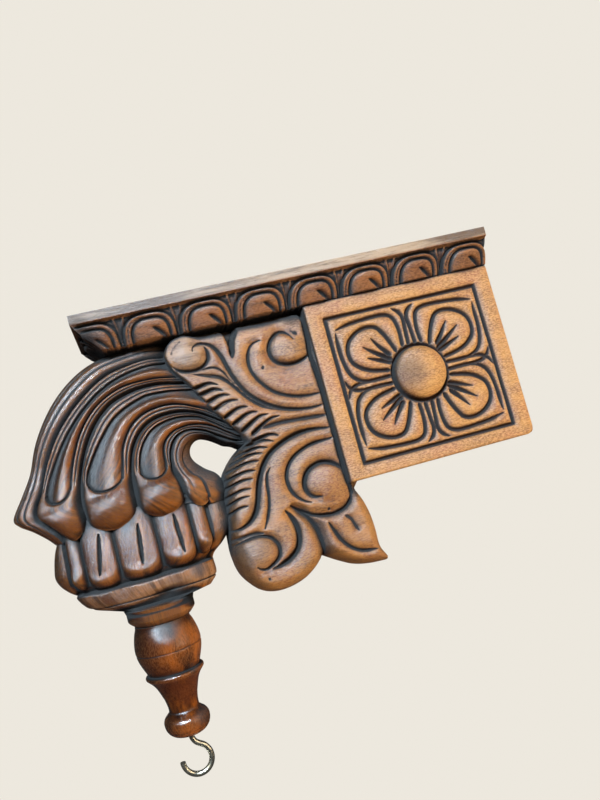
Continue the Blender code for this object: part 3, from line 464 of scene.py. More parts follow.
# The lines where the arm's petals part, from outside to inside, as (reach, drop)
PETAL_LINES = [
    [(165, 26), (190, 26), (210, 27), (225.4, 28.6), (239.8, 31.5), (252.3, 38.7), (263.8, 47.8),
     (274.4, 59.3), (282.6, 72.8), (288, 85.3), (293.7, 95), (294.2, 101), (290.5, 106), (286, 112),
     (283, 118)],
    [(165, 52), (180, 50), (192, 47.4), (207, 44.8), (215, 44), (225, 44.5), (235, 46.8), (242, 50),
     (250, 57), (256, 65), (261, 74), (265, 84), (267.5, 93), (268.5, 100), (268.5, 118)],
    [(165, 80), (175, 77.5), (185, 71), (192, 66.5), (200, 63.5), (208, 62.3), (216, 62.7), (222, 64.5),
     (227, 67.8), (231, 72), (234.5, 78), (237, 85), (238.3, 92), (239, 100), (239.3, 118)],
    [(165, 90), (173, 88.5), (178, 86.5), (185, 81.8), (190, 77.8), (195, 75.2), (200, 73.8),
     (205, 74.2), (209, 76.5), (212, 80.5), (214, 85), (214.5, 90), (213.8, 95), (212.4, 100.7),
     (211.5, 118)],
    [(165, 91.3), (174, 91.5), (180, 86.8), (185, 82.8), (190, 79.5), (195, 77.8), (200, 78),
     (204.5, 80.5), (207.5, 84.5), (208.8, 89), (208, 94), (206, 98), (202, 103), (199, 118)],
]

# The left and right edge of the raised tongue on each of the three side petals
TONGUE_LINES = [
    ([(165, 31), (190, 31), (210, 32), (227.3, 34.3), (242.7, 40), (257, 50.2), (269.6, 63.2),
      (280.2, 78.6), (288, 93.5)],
     [(165, 47.5), (190, 43.9), (203.3, 41.9), (217.7, 40.9), (233, 42), (247.5, 48.8), (258, 59.3),
      (264.8, 71), (269.6, 83.4), (272, 95)]),
    ([(165, 57), (180, 55), (195, 51), (213.8, 49.2), (223.5, 50), (238.8, 56.5), (250.4, 68),
      (260, 81.5), (264, 92), (263.5, 96)],
     [(165, 76), (178, 72.2), (188, 65), (194.6, 61.8), (207, 57.6), (220.6, 58.2), (231.2, 63.7),
      (238.4, 73.8), (241.3, 84.3), (243.6, 96)]),
    ([(165, 83), (177, 79.5), (187, 72.5), (195, 67.3), (208, 65), (221.5, 68.5), (230.2, 78.6),
      (233.6, 92), (232.6, 99)],
     [(165, 88), (173, 85.5), (180, 80), (190, 73.6), (200, 71), (210, 72.6), (216.6, 79), (218, 90),
      (219, 99)]),
]

# Across a tongue: share from its left line, and height in millimetres
TONGUE_SHAPE = [(0.0, -2.3), (0.03, -1.9), (0.10, -1.7), (0.20, -1.4), (0.32, -0.5), (0.45, 1.2),
                (0.54, 2.1), (0.62, 2.3), (0.74, 1.8), (0.86, 0.8), (0.95, -0.5), (1.0, -2.1)]
# Across the strip between a petal's valley and its tongue: share, height
BORDER_SHAPE = [(0.0, -4.2), (0.12, -2.8), (0.26, -0.8), (0.40, 0.1), (0.52, -0.1), (0.60, -0.9),
                (0.68, -0.1), (0.80, 0.4), (0.92, 0.1), (1.0, -1.9)]

# The bell's lower part: drop, outer reach, inner reach, half depth as a share of the arm's, squareness
BELL_SECTIONS = [
    (108.0, 284.0, 192.0, 0.92, 2.5),
    (116.0, 287.6, 189.0, 0.98, 2.5),
    (122.0, 290.4, 188.6, 1.04, 2.5),
    (129.0, 292.4, 188.8, 1.10, 2.5),
    (135.0, 293.2, 192.4, 1.13, 2.5),
    (140.0, 291.2, 197.6, 1.10, 2.4),
    (144.0, 287.6, 203.0, 1.03, 2.4),
    (147.0, 283.8, 205.0, 0.93, 2.3),
    (148.4, 284.6, 204.8, 1.02, 2.2),
    (152.8, 282.2, 204.6, 1.03, 2.2),
    (156.8, 277.6, 205.6, 0.99, 2.2),
    (161.0, 266.4, 209.6, 0.82, 2.1),
]
# The row where the wall steps out to the disc, and the wall's outer and inner reach above it
DISC_STEP = 7
WALL_FOOT = (283.8, 205.0)
# The lower tongues: reach of the valleys between them, of each slit's top and foot, and drop of their ends
LOWER_VALLEYS = [284.0, 275.5, 256.5, 233.0, 212.5, 202.5]
LOWER_SLITS = [None, (263.2, 267.0), (241.7, 243.8), (221.5, 220.8), None]
LOWER_ENDS = [144.5, 147.3, 147.3, 146.2, 142.5]
SLIT_MIDDLE = 127.5
SLIT_HALF_LENGTH = 11
# The disc under them: where its edge is broken, and the drops where its chips begin and where it is scribed
DISC_BREAK = (233.0, 159.0)
DISC_BREAK_RADIUS = 0.0135
DISC_TOP = 148.5
DISC_SCRIBE = 156.5
# The round collar: drop, radius. And how wide the bell's grain is taken to be, in metres.
COLLAR = [(162.6, 19.9), (163.2, 20.5), (164.4, 20.1), (165.4, 19.7), (169.2, 19.7), (169.8, 19.5),
          (170.6, 18.9), (172.8, 16.5), (173.0, 16.2)]
BELL_GRAIN_WIDTH = 0.09

# The slab with the leaves: runs of its outline, which meet at corners
LEAF_OUTLINE = [
    [(109, 20.2), (192, 20.2)],
    [(192, 20.2), (197.4, 21.3), (201.6, 24.2), (204, 28.4), (204.2, 32.6), (201.5, 39), (196.5, 46.5),
     (191, 56), (187, 64), (177.5, 76.8), (173, 83), (171, 88.4)],
    [(171, 88.4), (178.4, 93.0), (184, 98.4), (188.2, 104.4), (190.4, 112), (191.8, 122),
     (193, 133), (193.9, 142), (194, 151), (191.8, 161.8), (184.8, 171.2), (176.5, 175), (167, 175.2),
     (157.2, 172.7), (149.5, 168.2), (143.4, 162.6)],
    [(143.4, 162.6), (138.3, 166.1), (131.8, 170.2), (125.4, 173.3), (116.7, 175.1), (107, 175.8)],
    [(107, 175.8), (105.6, 173), (108.6, 166), (108.6, 155.8), (109.2, 146.6), (111.2, 137.8),
     (114.4, 130.2)],
    [(114.4, 130.2), (109, 124)],
    [(109, 122), (109, 20.2)],
]
# How close the points of each run lie
OUTLINE_STEPS = [2.0, 0.9, 0.9, 0.9, 0.9, 2.0, 2.0]

# How the leaves' slab is rounded at its edge, and how crisply where it lies on the arm
LEAF_ROUNDING = 0.0080
LEAF_HALF_EDGE = 0.0040
CRISP_ROUNDING = 0.0018
CRISP_HALF_EDGE = 0.0140
CRISP_LIFT = 0.0004
CRISP_RUN = 0.0045

# The cuts of the leaves and scrolls: points, width and depth in millimetres, soft sinking round it,
# and how wide that is on the left and the right
LEAF_CUTS = [
    ([(181.6, 28.6), (180.0, 32.6), (180.6, 37.0), (184.2, 40.6), (190.4, 41.8), (197.5, 40.4), (202.4, 36)],
     2.0, 1.8, 0.9, 1.0, 1.0),
    ([(188.4, 32.0), (187.6, 29.0), (184.2, 27.4), (180.8, 27.9), (177.4, 29.6), (174.7, 32.8), (172.6, 37.5),
      (171, 44.3), (169, 51), (165.3, 58.9), (161, 64.6), (154.8, 69.9), (146.5, 74.6), (138, 77.2),
      (128.7, 78.4), (121, 78)], 2.3, 2.1, 1.0, 1.2, 1.0),
    ([(192, 43.2), (189.3, 44.4), (184, 46.2), (177.8, 48.4), (173.7, 51.6), (169.5, 56.8), (165.3, 62.5),
      (160, 68.3), (153.8, 72.5), (146.5, 75.6)], 2.0, 1.8, 0.8, 1.0, 1.0),
    ([(187, 42.4), (178.9, 42.7), (174.7, 45.8), (171.6, 51), (168.4, 56.3)], 1.3, 1.1, 0.4, 0.8, 0.8),
    ([(160, 23), (162.6, 27), (165.2, 32), (166.9, 40)], 3.4, 3.2, 0.8, 0.8, 0.8),
    ([(146.5, 33.8), (150.7, 33.6), (154.8, 35.4), (157.5, 40), (158.5, 46.3), (157.5, 51.6),
      (154.8, 56.8), (150.7, 62), (145.4, 66.2), (138, 69.3), (129.8, 70.9), (119, 71.2)],
     1.9, 1.6, 0.9, 1.0, 1.2),
    ([(129.3, 37.5), (131.9, 33.3), (136, 31.2), (140.2, 32.8), (143.4, 36), (144.9, 40), (144.4, 44.8),
      (141.8, 48.4), (137, 50.5), (130.8, 50.7), (124.6, 49), (118.5, 45.3)], 2.0, 1.8, 1.0, 0.7, 1.6),
    ([(165, 82.9), (159, 82.8), (150.7, 82.4), (140, 83), (129.8, 83.8), (119, 84.8)],
     2.6, 1.2, 0.9, 1.0, 1.0),
    ([(121, 91.8), (124, 91.8), (132, 90.7), (140, 90.7), (147.5, 92.3), (154.8, 95), (161, 98.6),
      (165.8, 103.8), (169, 109), (171.6, 115.3), (173.7, 121.6), (176.3, 127.3), (180.4, 132),
      (186, 134.6), (191.4, 135.2), (195.6, 134)], 2.9, 2.6, 1.2, 1.0, 1.0),
    ([(161.6, 105), (164.8, 109), (166.3, 114.3), (167, 120.5), (168.4, 126.8), (171, 133),
      (174.7, 139.3)], 1.7, 1.5, 0.7, 1.0, 1.0),
    ([(121, 97.6), (124.5, 98.3), (132, 98.4), (139, 99.6), (146.5, 102.8), (151.7, 107.5), (154.3, 113.2),
      (154.3, 119.5), (152.2, 124.7), (147.5, 129.4), (143.4, 131)], 2.1, 1.9, 1.0, 1.2, 1.0),
    ([(137, 129.2), (141.3, 128.4), (144.4, 125.8), (145.7, 121), (143.9, 115.8), (140.2, 112.2),
      (134, 110.3), (127.7, 111.6), (122.5, 115.3), (119, 119)], 2.5, 2.2, 1.0, 1.0, 0.7),
    ([(118, 127), (119.3, 129.9), (121.4, 135.2), (125.6, 138.8), (132, 140.4), (138, 140), (144.4, 138.3),
      (149.6, 135.2), (153.8, 132), (157, 129.4)], 2.2, 2.2, 1.4, 1.0, 1.4),
    ([(195.6, 144.6), (187.2, 142), (178.9, 141.4), (172.6, 143.5), (169.5, 147.2), (168.6, 150.8),
      (170, 155), (173.7, 158), (178.9, 160), (183, 158.7), (184.6, 156.6)], 1.9, 1.8, 1.0, 1.0, 1.0),
    ([(196, 141), (188, 140.2), (181, 139.8), (175, 140.5)], 3.2, 1.6, 0.8, 1.0, 1.0),
    ([(160.6, 131), (157.5, 136.2), (155.9, 142.5), (156.4, 148.7), (159, 154), (164.3, 158),
      (170.5, 160.2), (176, 161)], 3.0, 2.8, 1.2, 1.0, 1.0),
    ([(157, 129.2), (150.7, 135.2), (146.5, 141.4), (144.4, 147.7), (143.6, 155), (143.0, 163.5)],
     2.2, 2.4, 2.4, 1.5, 1.2),
    ([(138, 143.5), (135.5, 149.8), (132.9, 156), (128.7, 161.3), (122.5, 165), (113, 166.4)],
     2.0, 1.7, 1.0, 1.0, 1.0),
    ([(128.2, 142), (124.5, 145.6), (123, 149.8), (121.4, 154)], 2.6, 0.6, 0.6, 1.0, 1.0),
]

# The uneven cut beside the block
BESIDE_BLOCK = [(120.6, 15), (120.4, 26), (120.8, 38), (121.8, 47), (121.2, 56), (120.6, 68), (120.7, 84),
                (120.4, 98), (120.6, 112), (120.3, 124), (119.4, 131)]
# Strokes along the feathered edges of the two leaves: start, end
FEATHERS = [
    ((189.2, 51.5), (178.5, 53.2)), ((186.8, 55.5), (176.8, 57.0)), ((185.6, 60.8), (173.7, 60.3)),
    ((182.5, 65.5), (169.5, 64.2)), ((178.4, 71.4), (165.3, 69.0)), ((173.4, 75.6), (160.4, 73.2)),
    ((167.4, 79.3), (154.8, 76.0)), ((162.0, 82.2), (148.6, 78.6)),
    ((163.5, 88.2), (152.0, 89.6)), ((169.5, 90.6), (155.9, 92.0)), ((175.0, 94.4), (160.0, 94.6)),
    ((179.6, 98.0), (163.2, 97.0)), ((183.8, 102.2), (166.3, 100.6)), ((187.2, 107.0), (169.5, 105.4)),
    ((189.2, 111.6), (172.7, 109.6)), ((190.6, 117.0), (175.2, 114.6)), ((191.6, 121.8), (177.4, 118.4)),
    ((192.0, 126.8), (179.6, 123.6)),
]
# How far a stroke's middle bows up, and how much farther out it starts, as a share of half its length
FEATHER_SAG = -1.5
FEATHER_RUN_OUT = 0.7
# How much deeper than drawn the wood sinks beside the leaves' cuts
CUT_SINK = 1.9

# Domed places on the leaves: centre, radius, rise
LEAF_DOMES = [
    ((191.4, 33.4), 9.4, 1.3),
    ((133.5, 41.3), 9.6, 1.5),
    ((133.0, 121.5), 12.0, 2.2),
    ((181.8, 150.4), 12.2, 2.2),
]

# A place where the ground is cut back between the leaves: corners, and depth in millimetres
LEAF_HOLLOW = [(158, 19), (171.5, 19), (169, 26), (166.6, 38), (163.4, 28.5)]
HOLLOW_DEPTH = 5.5
# Knots, with the depth and width of their holes in metres
KNOTS = [(151.2, 49.3), (135.3, 137.2), (179.0, 165.5)]
KNOT_DEPTH = 0.0018
KNOT_WIDTH = 0.0006

# Beside the upper boss the arm stays below the leaves' face: by how much, and how it comes out again
BOSS_SINK = 0.0065
BOSS_RELEASE = 0.0200
BOSS_RELEASE_RUN = (0.0015, 0.0090)

# Small unevenness of the leaves and the block, each as height and size
LEAF_UNEVEN = ((0.0003, 0.009), (0.00012, 0.003))
BLOCK_UNEVEN = ((0.00022, 0.012), (0.0001, 0.003))


def crossing(outer, inner, line):
    """Where a line crosses a section, as a share from its outer to its inner end."""
    span = inner - outer
    sides = (line - outer) @ np.array([-span[1], span[0]])
    hits = np.nonzero((sides[:-1] * sides[1:] <= 0) & (sides[:-1] != sides[1:]))[0]
    shares = []
    for i in hits:
        t = sides[i] / (sides[i] - sides[i + 1])
        point = line[i] + t * (line[i + 1] - line[i])
        shares.append((point - outer) @ span / (span @ span))
    shares = [share for share in shares if 0 < share < 1]
    if shares:
        return shares[-1]
    nearest = line[np.argmin(np.abs(sides))]
    return float(np.clip((nearest - outer) @ span / (span @ span), 0.01, 0.99))


def shape_at(shape, shares):
    """Height of a drawn cross-section at the shares, in millimetres."""
    return np.interp(shares, *zip(*shape))


def section_points(outer, inner, half_depth, power, shares, push, lift):
    """The front half of a section: points at the shares, pushed out along the surface's normal."""
    middle, reach = (outer + inner) / 2, (outer - inner) / 2
    radius = np.linalg.norm(reach)
    along = reach / radius
    u = 1 - 2 * shares
    depth = half_depth * np.maximum(1 - np.abs(u) ** power, 0) ** (1 / power)
    slope = np.stack([np.sign(u) * np.abs(u) ** (power - 1) / radius,
                      (depth / half_depth) ** (power - 1) / half_depth], axis=1)
    slope /= np.linalg.norm(slope, axis=1)[:, None]
    spot = middle + along * (u * radius + push * slope[:, 0])[:, None]
    out = depth + push * slope[:, 1]
    return np.stack([spot[:, 0], -out, spot[:, 1] + lift], axis=1)


def both_sides(front):
    """A whole ring from its front half."""
    back = front[1:-1] * np.array([1, -1, 1])
    return np.vstack([front, back[::-1]])


def section_at(table, row):
    """A table's values at a row that may lie between two of its rows."""
    flat = np.array([np.hstack([np.ravel(value) for value in entry]) for entry in table])
    i = int(min(max(math.floor(row), 0), len(flat) - 2))
    p1, p2 = flat[i], flat[i + 1]
    p0 = flat[i - 1] if i else 2 * p1 - p2
    p3 = flat[i + 2] if i + 2 < len(flat) else 2 * p2 - p1
    return curve_point(p0, p1, p2, p3, row - i)


def grain_run(along, across):
    """How far along and across the carving the points of a section lie, for its grain."""
    return np.stack([np.full(len(across), along), across, np.zeros(len(across))], axis=1)


def loft(halves, flows, closing=False):
    """A closed loft through sections given by their front halves, and how its grain runs.

    closing adds a smaller ring at the end, inside the next piece.
    """
    rings = [both_sides(front) for front in halves]
    flow = [np.vstack([part, part[1:-1][::-1] + (0, 0, 0.05)]) for part in flows]
    if closing:
        centre = rings[-1].mean(axis=0)
        ring = centre + (rings[-1] - centre) * np.array([0.8, 0.8, 0])
        ring[:, 2] = centre[2] + 0.002
        rings.append(ring)
        flow.append(flow[-1])
    points, faces = tube_grid(rings)
    return points, faces, np.vstack(flow)


# How many points lie across the arm's nose, a petal's borders and tongue, the rim and the eye's wall
NOSE_COUNT = 26
BORDER_COUNT = 12
TONGUE_COUNT = 26
RIM_COUNT = 18
EYE_WALL_COUNT = 9


def arm_rows():
    """The rows of the arm's table that the loft passes through."""
    last = len(ARM_SECTIONS) - 1
    rows = []
    row = 0.0
    while row < last:
        rows.append(row)
        row += 1 / 11 if row < CLOSE_ROWS_FROM else 1 / 22
    return rows + [last]


def arm_valleys(outer, inner, petal_lines):
    """Where the petals part on a section, as shares from its outer to its inner end."""
    valleys = [crossing(outer, inner, line) for line in petal_lines]
    for i in range(1, len(valleys)):
        valleys[i] = max(valleys[i], valleys[i - 1] + 0.02)
    return [min(value, 0.985 + 0.002 * i) for i, value in enumerate(valleys)]


def tongue_edges(outer, inner, pair, near, far):
    """Where a petal's tongue begins and ends on a section, kept clear of the valleys."""
    width = far - near
    left, right = [crossing(outer, inner, line) for line in pair]
    left = min(max(left, near + 0.13 * width), near + 0.42 * width)
    return left, max(min(right, far - 0.11 * width), left + 0.25 * width)


def nose_carving():
    """The arm's outer edge: shares of its width, and height in millimetres with two scribed lines."""
    t = np.linspace(0, 1, NOSE_COUNT, endpoint=False)
    height = 0.9 * np.sin(np.pi * np.clip((t - 0.30) / 0.55, 0, 1)) - 0.9 * hump(t - 0.28, 0.07)
    return t, height - (1.1 * hump(t - 0.66, 0.06) + 2.4 * hump(1 - t, 0.10))


def petal_carving(row, near, far, left, right, swell):
    """A side petal across a section: shares, height in millimetres, and its share of the bulbs' lift."""
    border = np.linspace(0, 1, BORDER_COUNT, endpoint=False)
    tongue = np.linspace(0, 1, TONGUE_COUNT, endpoint=False)
    shares = np.concatenate([near + (left - near) * border, left + (right - left) * tongue,
                             right + (far - right) * border])
    carved = np.concatenate([shape_at(BORDER_SHAPE, border), shape_at(TONGUE_SHAPE, tongue),
                             shape_at(BORDER_SHAPE, 1 - border)])
    t = (shares - near) / (far - near)
    across = 2 * (shares - left) / (right - left) - 1
    on_tongue = np.abs(across) < 1
    end_row = TONGUE_END - 0.15 - 1.1 * (1 - np.sqrt(np.clip(1 - across ** 2, 0, 1)))
    after = np.where(on_tongue, ease(row, end_row - 0.04, end_row + 0.04),
                     ease(row, TONGUE_END - 1.9, TONGUE_END - 0.6))
    valley = -4.2 * np.exp(-(np.minimum(t, 1 - t) / 0.07) ** 1.5)
    round_off = np.sin(np.pi * np.clip(t, 0, 1)) ** 0.75
    bulb = valley + 0.3 + (4.8 * swell) * round_off - 2.6 * (1 - round_off) * swell
    push = carved * (1 - after) + bulb * after - 1.6 * hump(row - end_row, 0.07) * on_tongue
    return shares, push, (1 - round_off) * after


def rim_carving(rim, edge, past, swell):
    """The rim beside the eye, with its scribed line: shares, height in millimetres and share of the lift."""
    t = np.linspace(0, 1, RIM_COUNT, endpoint=False)
    round_off = np.sin(np.pi * np.clip(t * 0.85, 0, 1)) ** 0.6
    line = -0.8 * hump(t - 0.42, 0.07) * (1 - past)
    push = -2.6 * np.exp(-(t / 0.10) ** 1.5) + 0.8 * round_off + line + 1.4 * swell * round_off
    return rim + (edge - rim) * t, push, 1 - round_off


def arm():
    """The arm with its petals, from inside the leaves round to the bulbs."""
    petal_lines = [place(smooth(line, 1.0)) for line in PETAL_LINES]
    tongue_lines = [[place(smooth(line, 1.0)) for line in pair] for pair in TONGUE_LINES]
    leaf_edge = place(np.vstack([smooth(LEAF_OUTLINE[1], 2.0), smooth(LEAF_OUTLINE[2][:9], 2.0)]))
    boss, boss_radius, _ = LEAF_DOMES[0]
    last = len(ARM_SECTIONS) - 1
    halves, flows = [], []
    travelled = 0.0
    previous = None
    for row in arm_rows():
        values = section_at(ARM_SECTIONS, row)
        outer, inner = place(values[0:2]), place(values[2:4])
        middle = outer * 0.55 + inner * 0.45
        travelled += 0.0 if previous is None else float(np.linalg.norm(middle - previous))
        previous = middle
        past = max(0.0, (row - TONGUE_END) / (last - TONGUE_END))
        fade = min(1.0, 0.5 + row / 5)
        into = min(1.0, max(0.0, (row - SWELL_START) / (SWELL_END - SWELL_START)))
        swell = max(0.0, math.sin(math.pi * into)) ** 0.8

        valleys = arm_valleys(outer, inner, petal_lines)
        nose, push = nose_carving()
        parts = [(valleys[0] * nose ** 1.2, push * (1 - 0.75 * past), np.zeros_like(nose))]
        for pair, near, far in zip(tongue_lines, valleys, valleys[1:]):
            left, right = tongue_edges(outer, inner, pair, near, far)
            parts.append(petal_carving(row, near, far, left, right, swell))
        rim, edge = valleys[3], valleys[4]
        parts.append(rim_carving(rim, edge, past, swell))
        wall = np.linspace(0, 1, EYE_WALL_COUNT)
        parts.append((edge + (1 - edge) * wall, np.zeros_like(wall), np.zeros_like(wall)))
        shares, push, lift = [np.concatenate(part) for part in zip(*parts)]

        gap, _ = line_distance(outer + (inner - outer) * shares[:, None], leaf_edge)
        push = push * fade * MM - 0.0042 * hump(np.abs(gap), 0.0065) * (row < 9)
        front = section_points(outer, inner, HALF_ARM * values[4], values[5], shares, push,
                               lift * BULB_LIFT * past ** 1.6)
        front[:, 2] = np.minimum(front[:, 2], BODY_TOP)
        away = away_from(front, boss) - boss_radius * MM
        limit = HALF_ARM - BOSS_SINK + BOSS_RELEASE * ease(away, *BOSS_RELEASE_RUN)
        front[:, 1] = np.clip(front[:, 1], -limit, limit)
        halves.append(front)
        flows.append(grain_run(travelled, shares * np.linalg.norm(inner - outer)))
    return loft(halves, flows, closing=True)


def bell_section(row):
    """A row of the bell's table, straight across at the step to the disc and smooth elsewhere."""
    if DISC_STEP <= row <= DISC_STEP + 1:
        low, high = np.array(BELL_SECTIONS[DISC_STEP]), np.array(BELL_SECTIONS[DISC_STEP + 1])
        return low + (high - low) * (row - DISC_STEP)
    return section_at(BELL_SECTIONS, row)


def lower_tongue(i, near, far, drop, span_outer, span):
    """One of the bell's lower tongues across a section: shares, and height in millimetres."""
    t = np.linspace(0, 1, 44 if LOWER_SLITS[i] else 24, endpoint=False)
    shares = near + (far - near) * t
    across = np.abs(2 * t - 1)
    finger = LOWER_ENDS[i] - 7.5 * (1 - np.sqrt(np.clip(1 - across ** 2.2, 0, 1)))
    body = np.sqrt(np.clip((finger - drop) / 5.0, 0, 1))
    rise = 3.9 * np.sqrt(np.clip(1 - (across * 1.04) ** 2.4, 0, 1)) * body
    push = -3.4 + rise + 2.3 * np.sin(np.pi * t) * hump(drop - finger + 5.5, 3.6)
    if LOWER_SLITS[i]:
        top, foot = LOWER_SLITS[i]
        reach = top + (foot - top) * (drop - 117) / 20
        centre = (span_outer - reach) / span
        from_middle = (drop - SLIT_MIDDLE) / SLIT_HALF_LENGTH
        wide = 1.25 / span * np.sqrt(np.clip(1 - from_middle ** 2, 0.0001, 1))
        slit = np.clip(1 - ((shares - centre) / wide) ** 2, 0, 1)
        push = push - 2.6 * slit * (abs(from_middle) < 1)
    return shares, push


def bell():
    """The bell's lower tongues, the disc under them and the round collar."""
    rows = list(np.arange(0, DISC_STEP, 1 / 13)) + list(np.arange(DISC_STEP, 11.001, 1 / 9))
    halves, flows = [], []
    for row in rows:
        drop, outer_reach, inner_reach, depth_share, power = bell_section(row)
        outer, inner = place((outer_reach, drop)), place((inner_reach, drop))
        in_tier = ease(drop, 109, 113) * (1 - ease(drop, 146.2, 147.6))
        span_outer, span_inner = (outer_reach, inner_reach) if drop < 147.4 else WALL_FOOT
        span = span_outer - span_inner
        valleys = [(span_outer - reach) / span for reach in LOWER_VALLEYS]
        valleys = [min(max(value, 0.015 + 0.01 * i), 0.93 + 0.012 * i) for i, value in enumerate(valleys)]
        before = np.linspace(0, valleys[0], 10, endpoint=False)
        parts = [(before, 0.6 * np.sin(np.pi * (before / valleys[0])))]
        for i in range(len(valleys) - 1):
            parts.append(lower_tongue(i, valleys[i], valleys[i + 1], drop, span_outer, span))
        t = np.linspace(0, 1, 12)
        parts.append((valleys[-1] + (1 - valleys[-1]) * t, -2.6 * hump(t, 0.3)))
        shares, push = [np.concatenate(part) for part in zip(*parts)]
        plain_front = section_points(outer, inner, HALF_ARM * depth_share, power, shares, 0 * push, 0)
        chips = chip(plain_front, drop) * (drop > DISC_TOP)
        push = (push * in_tier - 0.8 * hump(drop - DISC_SCRIBE, 0.45) - chips) * MM
        halves.append(section_points(outer, inner, HALF_ARM * depth_share, power, shares, push, 0))
        flows.append(grain_run(drop * MM, shares * BELL_GRAIN_WIDTH))
    for drop, radius in COLLAR:
        centre = place((DRAWN_COLLAR_AXIS, drop))
        reach = np.array([radius * MM, 0])
        halves.append(section_points(centre - reach, centre + reach, radius * MM, 2.0, shares, 0 * shares, 0))
        flows.append(grain_run(drop * MM, shares * BELL_GRAIN_WIDTH))
    return loft(halves, flows)


def chip(points, drop):
    """Broken and rough places on the disc, in millimetres of depth."""
    away = away_from(points, DISC_BREAK) / DISC_BREAK_RADIUS
    broken = np.exp(-away ** 4) * (points[:, 1] < 0) * ease(drop, 153.0, 157.0)
    uneven = rough(points, 0.010)
    return 0.35 * uneven + 0.12 * rough(points, 0.0024) + broken * (2.0 + 2.4 * uneven)


def leaf_cuts():
    """The cuts of the leaves, the uneven one beside the block and the feather strokes."""
    cuts = [Cut(points, width, depth, sink * CUT_SINK, left, right)
            for points, width, depth, sink, left, right in LEAF_CUTS]
    cuts.append(Cut(BESIDE_BLOCK, 3.0, 3.6, 1.0, 0.8, 0.8, taper=(0, 0)))
    for start, end in FEATHERS:
        start, end = np.array(start), np.array(end)
        middle = (start + end) / 2 + (0, FEATHER_SAG)
        start = start + (start - middle) * FEATHER_RUN_OUT
        cuts.append(Cut([start, middle, end], 2.5, 2.4, 1.6, 0.35, 0.8, taper=(0.0, 0.8)))
    return cuts


def leaves():
    """The slab with scrolls, feathered leaves, the curl and the tail."""
    runs = [smooth(run, step)[:-1] for run, step in zip(LEAF_OUTLINE, OUTLINE_STEPS)]
    outline = place(np.vstack(runs))
    closed = close_line(outline)
    over_arm = place(smooth(LEAF_OUTLINE[1], 2.0))
    cuts = leaf_cuts()
    hollow = place(LEAF_HOLLOW)

    def half_depth(points):
        gap = edge_gap(points, closed)
        beside = edge_gap(points, over_arm)
        crisp = hump(np.clip(beside - gap, 0, None), CRISP_RUN)
        rounding = np.clip(gap / (LEAF_ROUNDING * (1 - crisp) + CRISP_ROUNDING * crisp), 0, 1)
        rise = np.sqrt(1 - (1 - rounding) ** 2)
        low = LEAF_HALF_EDGE * (1 - crisp) + CRISP_HALF_EDGE * crisp
        height = low + (HALF_LEAF + CRISP_LIFT * crisp - low) * rise
        for centre, radius, lift in LEAF_DOMES:
            away = away_from(points, centre) / (radius * MM)
            height = height + lift * MM * np.clip(1 - away ** 2, 0, 1) * rounding
        in_hollow = inside(points, hollow) * ease(edge_gap(points, close_line(hollow)), 0, 0.002)
        height = height - HOLLOW_DEPTH * MM * in_hollow
        core, soft = cut_depth(cuts, points)
        for knot in KNOTS:
            core = np.maximum(core, KNOT_DEPTH * hump(away_from(points, knot), KNOT_WIDTH))
        wobble = unevenness(np.column_stack([points, np.zeros(len(points))]), LEAF_UNEVEN)
        return height - (core + soft) * np.clip(gap / 0.0012, 0.25, 1) + wobble * rounding

    return slab(outline, cuts, half_depth, 0.00105, 0.0005)


# The flower's centre in the drawing, and half the width and height of the frame round it
FLOWER_CENTRE = (60.0, 74.6)
FLOWER_FRAME = (48.5, 43.8)
# Its cuts, in millimetres from its centre, on the quarter up and away from the wall: width, depth, taper
PETAL_CUTS = [
    ([(2.2, 17.4), (1.7, 26.6), (1.3, 34.6), (3.3, 38.8), (7.5, 41.7)], 1.9, 1.5, (0.04, 0.2)),
    ([(17.4, -2.1), (31.7, -2.1), (40, -1.7), (45, 1.3), (47, 6.3)], 1.9, 1.5, (0.04, 0.2)),
    ([(17.4, 2.1), (31.7, 2.1), (39.2, 5.0), (42.9, 10.4), (44.6, 19.6), (44.6, 34.6)],
     1.8, 1.5, (0.04, 0.15)),
    ([(44.6, 35.8), (35.8, 37.8), (23.3, 38.8), (13.3, 38.8), (8.3, 36.7), (6.3, 32.1), (5.6, 24.6),
      (6.2, 16.6)], 1.8, 1.5, (0.15, 0.04)),
    ([(16.8, 5.4), (27.5, 7.5), (34.2, 10.4), (39.2, 15.4), (40, 22.1), (37.5, 27.9), (31.7, 32.1),
      (25, 33.6), (19.2, 32.1), (15.2, 26.3), (12.6, 20.4), (10.4, 14.4)], 1.9, 1.6, (0.03, 0.03)),
    ([(31.0, 22.6), (22, 16.2), (14.2, 11.2)], 2.4, 2.2, (0.7, 0.1)),
    ([(24.8, 26.8), (19.6, 19.6), (14.6, 13.8)], 2.2, 2.0, (0.7, 0.1)),
    ([(30.0, 15.6), (22, 12.4), (14.8, 9.6)], 2.2, 2.0, (0.7, 0.1)),
]
# How much wider and deeper than drawn they are cut
PETAL_CUT_WIDER = 1.3
PETAL_CUT_DEEPER = 1.15
# The boss in the flower's middle, and how the block's edge is rounded
BOSS_RADIUS = 0.0164
BOSS_RISE = 0.0056
BLOCK_ROUNDING = 0.0012


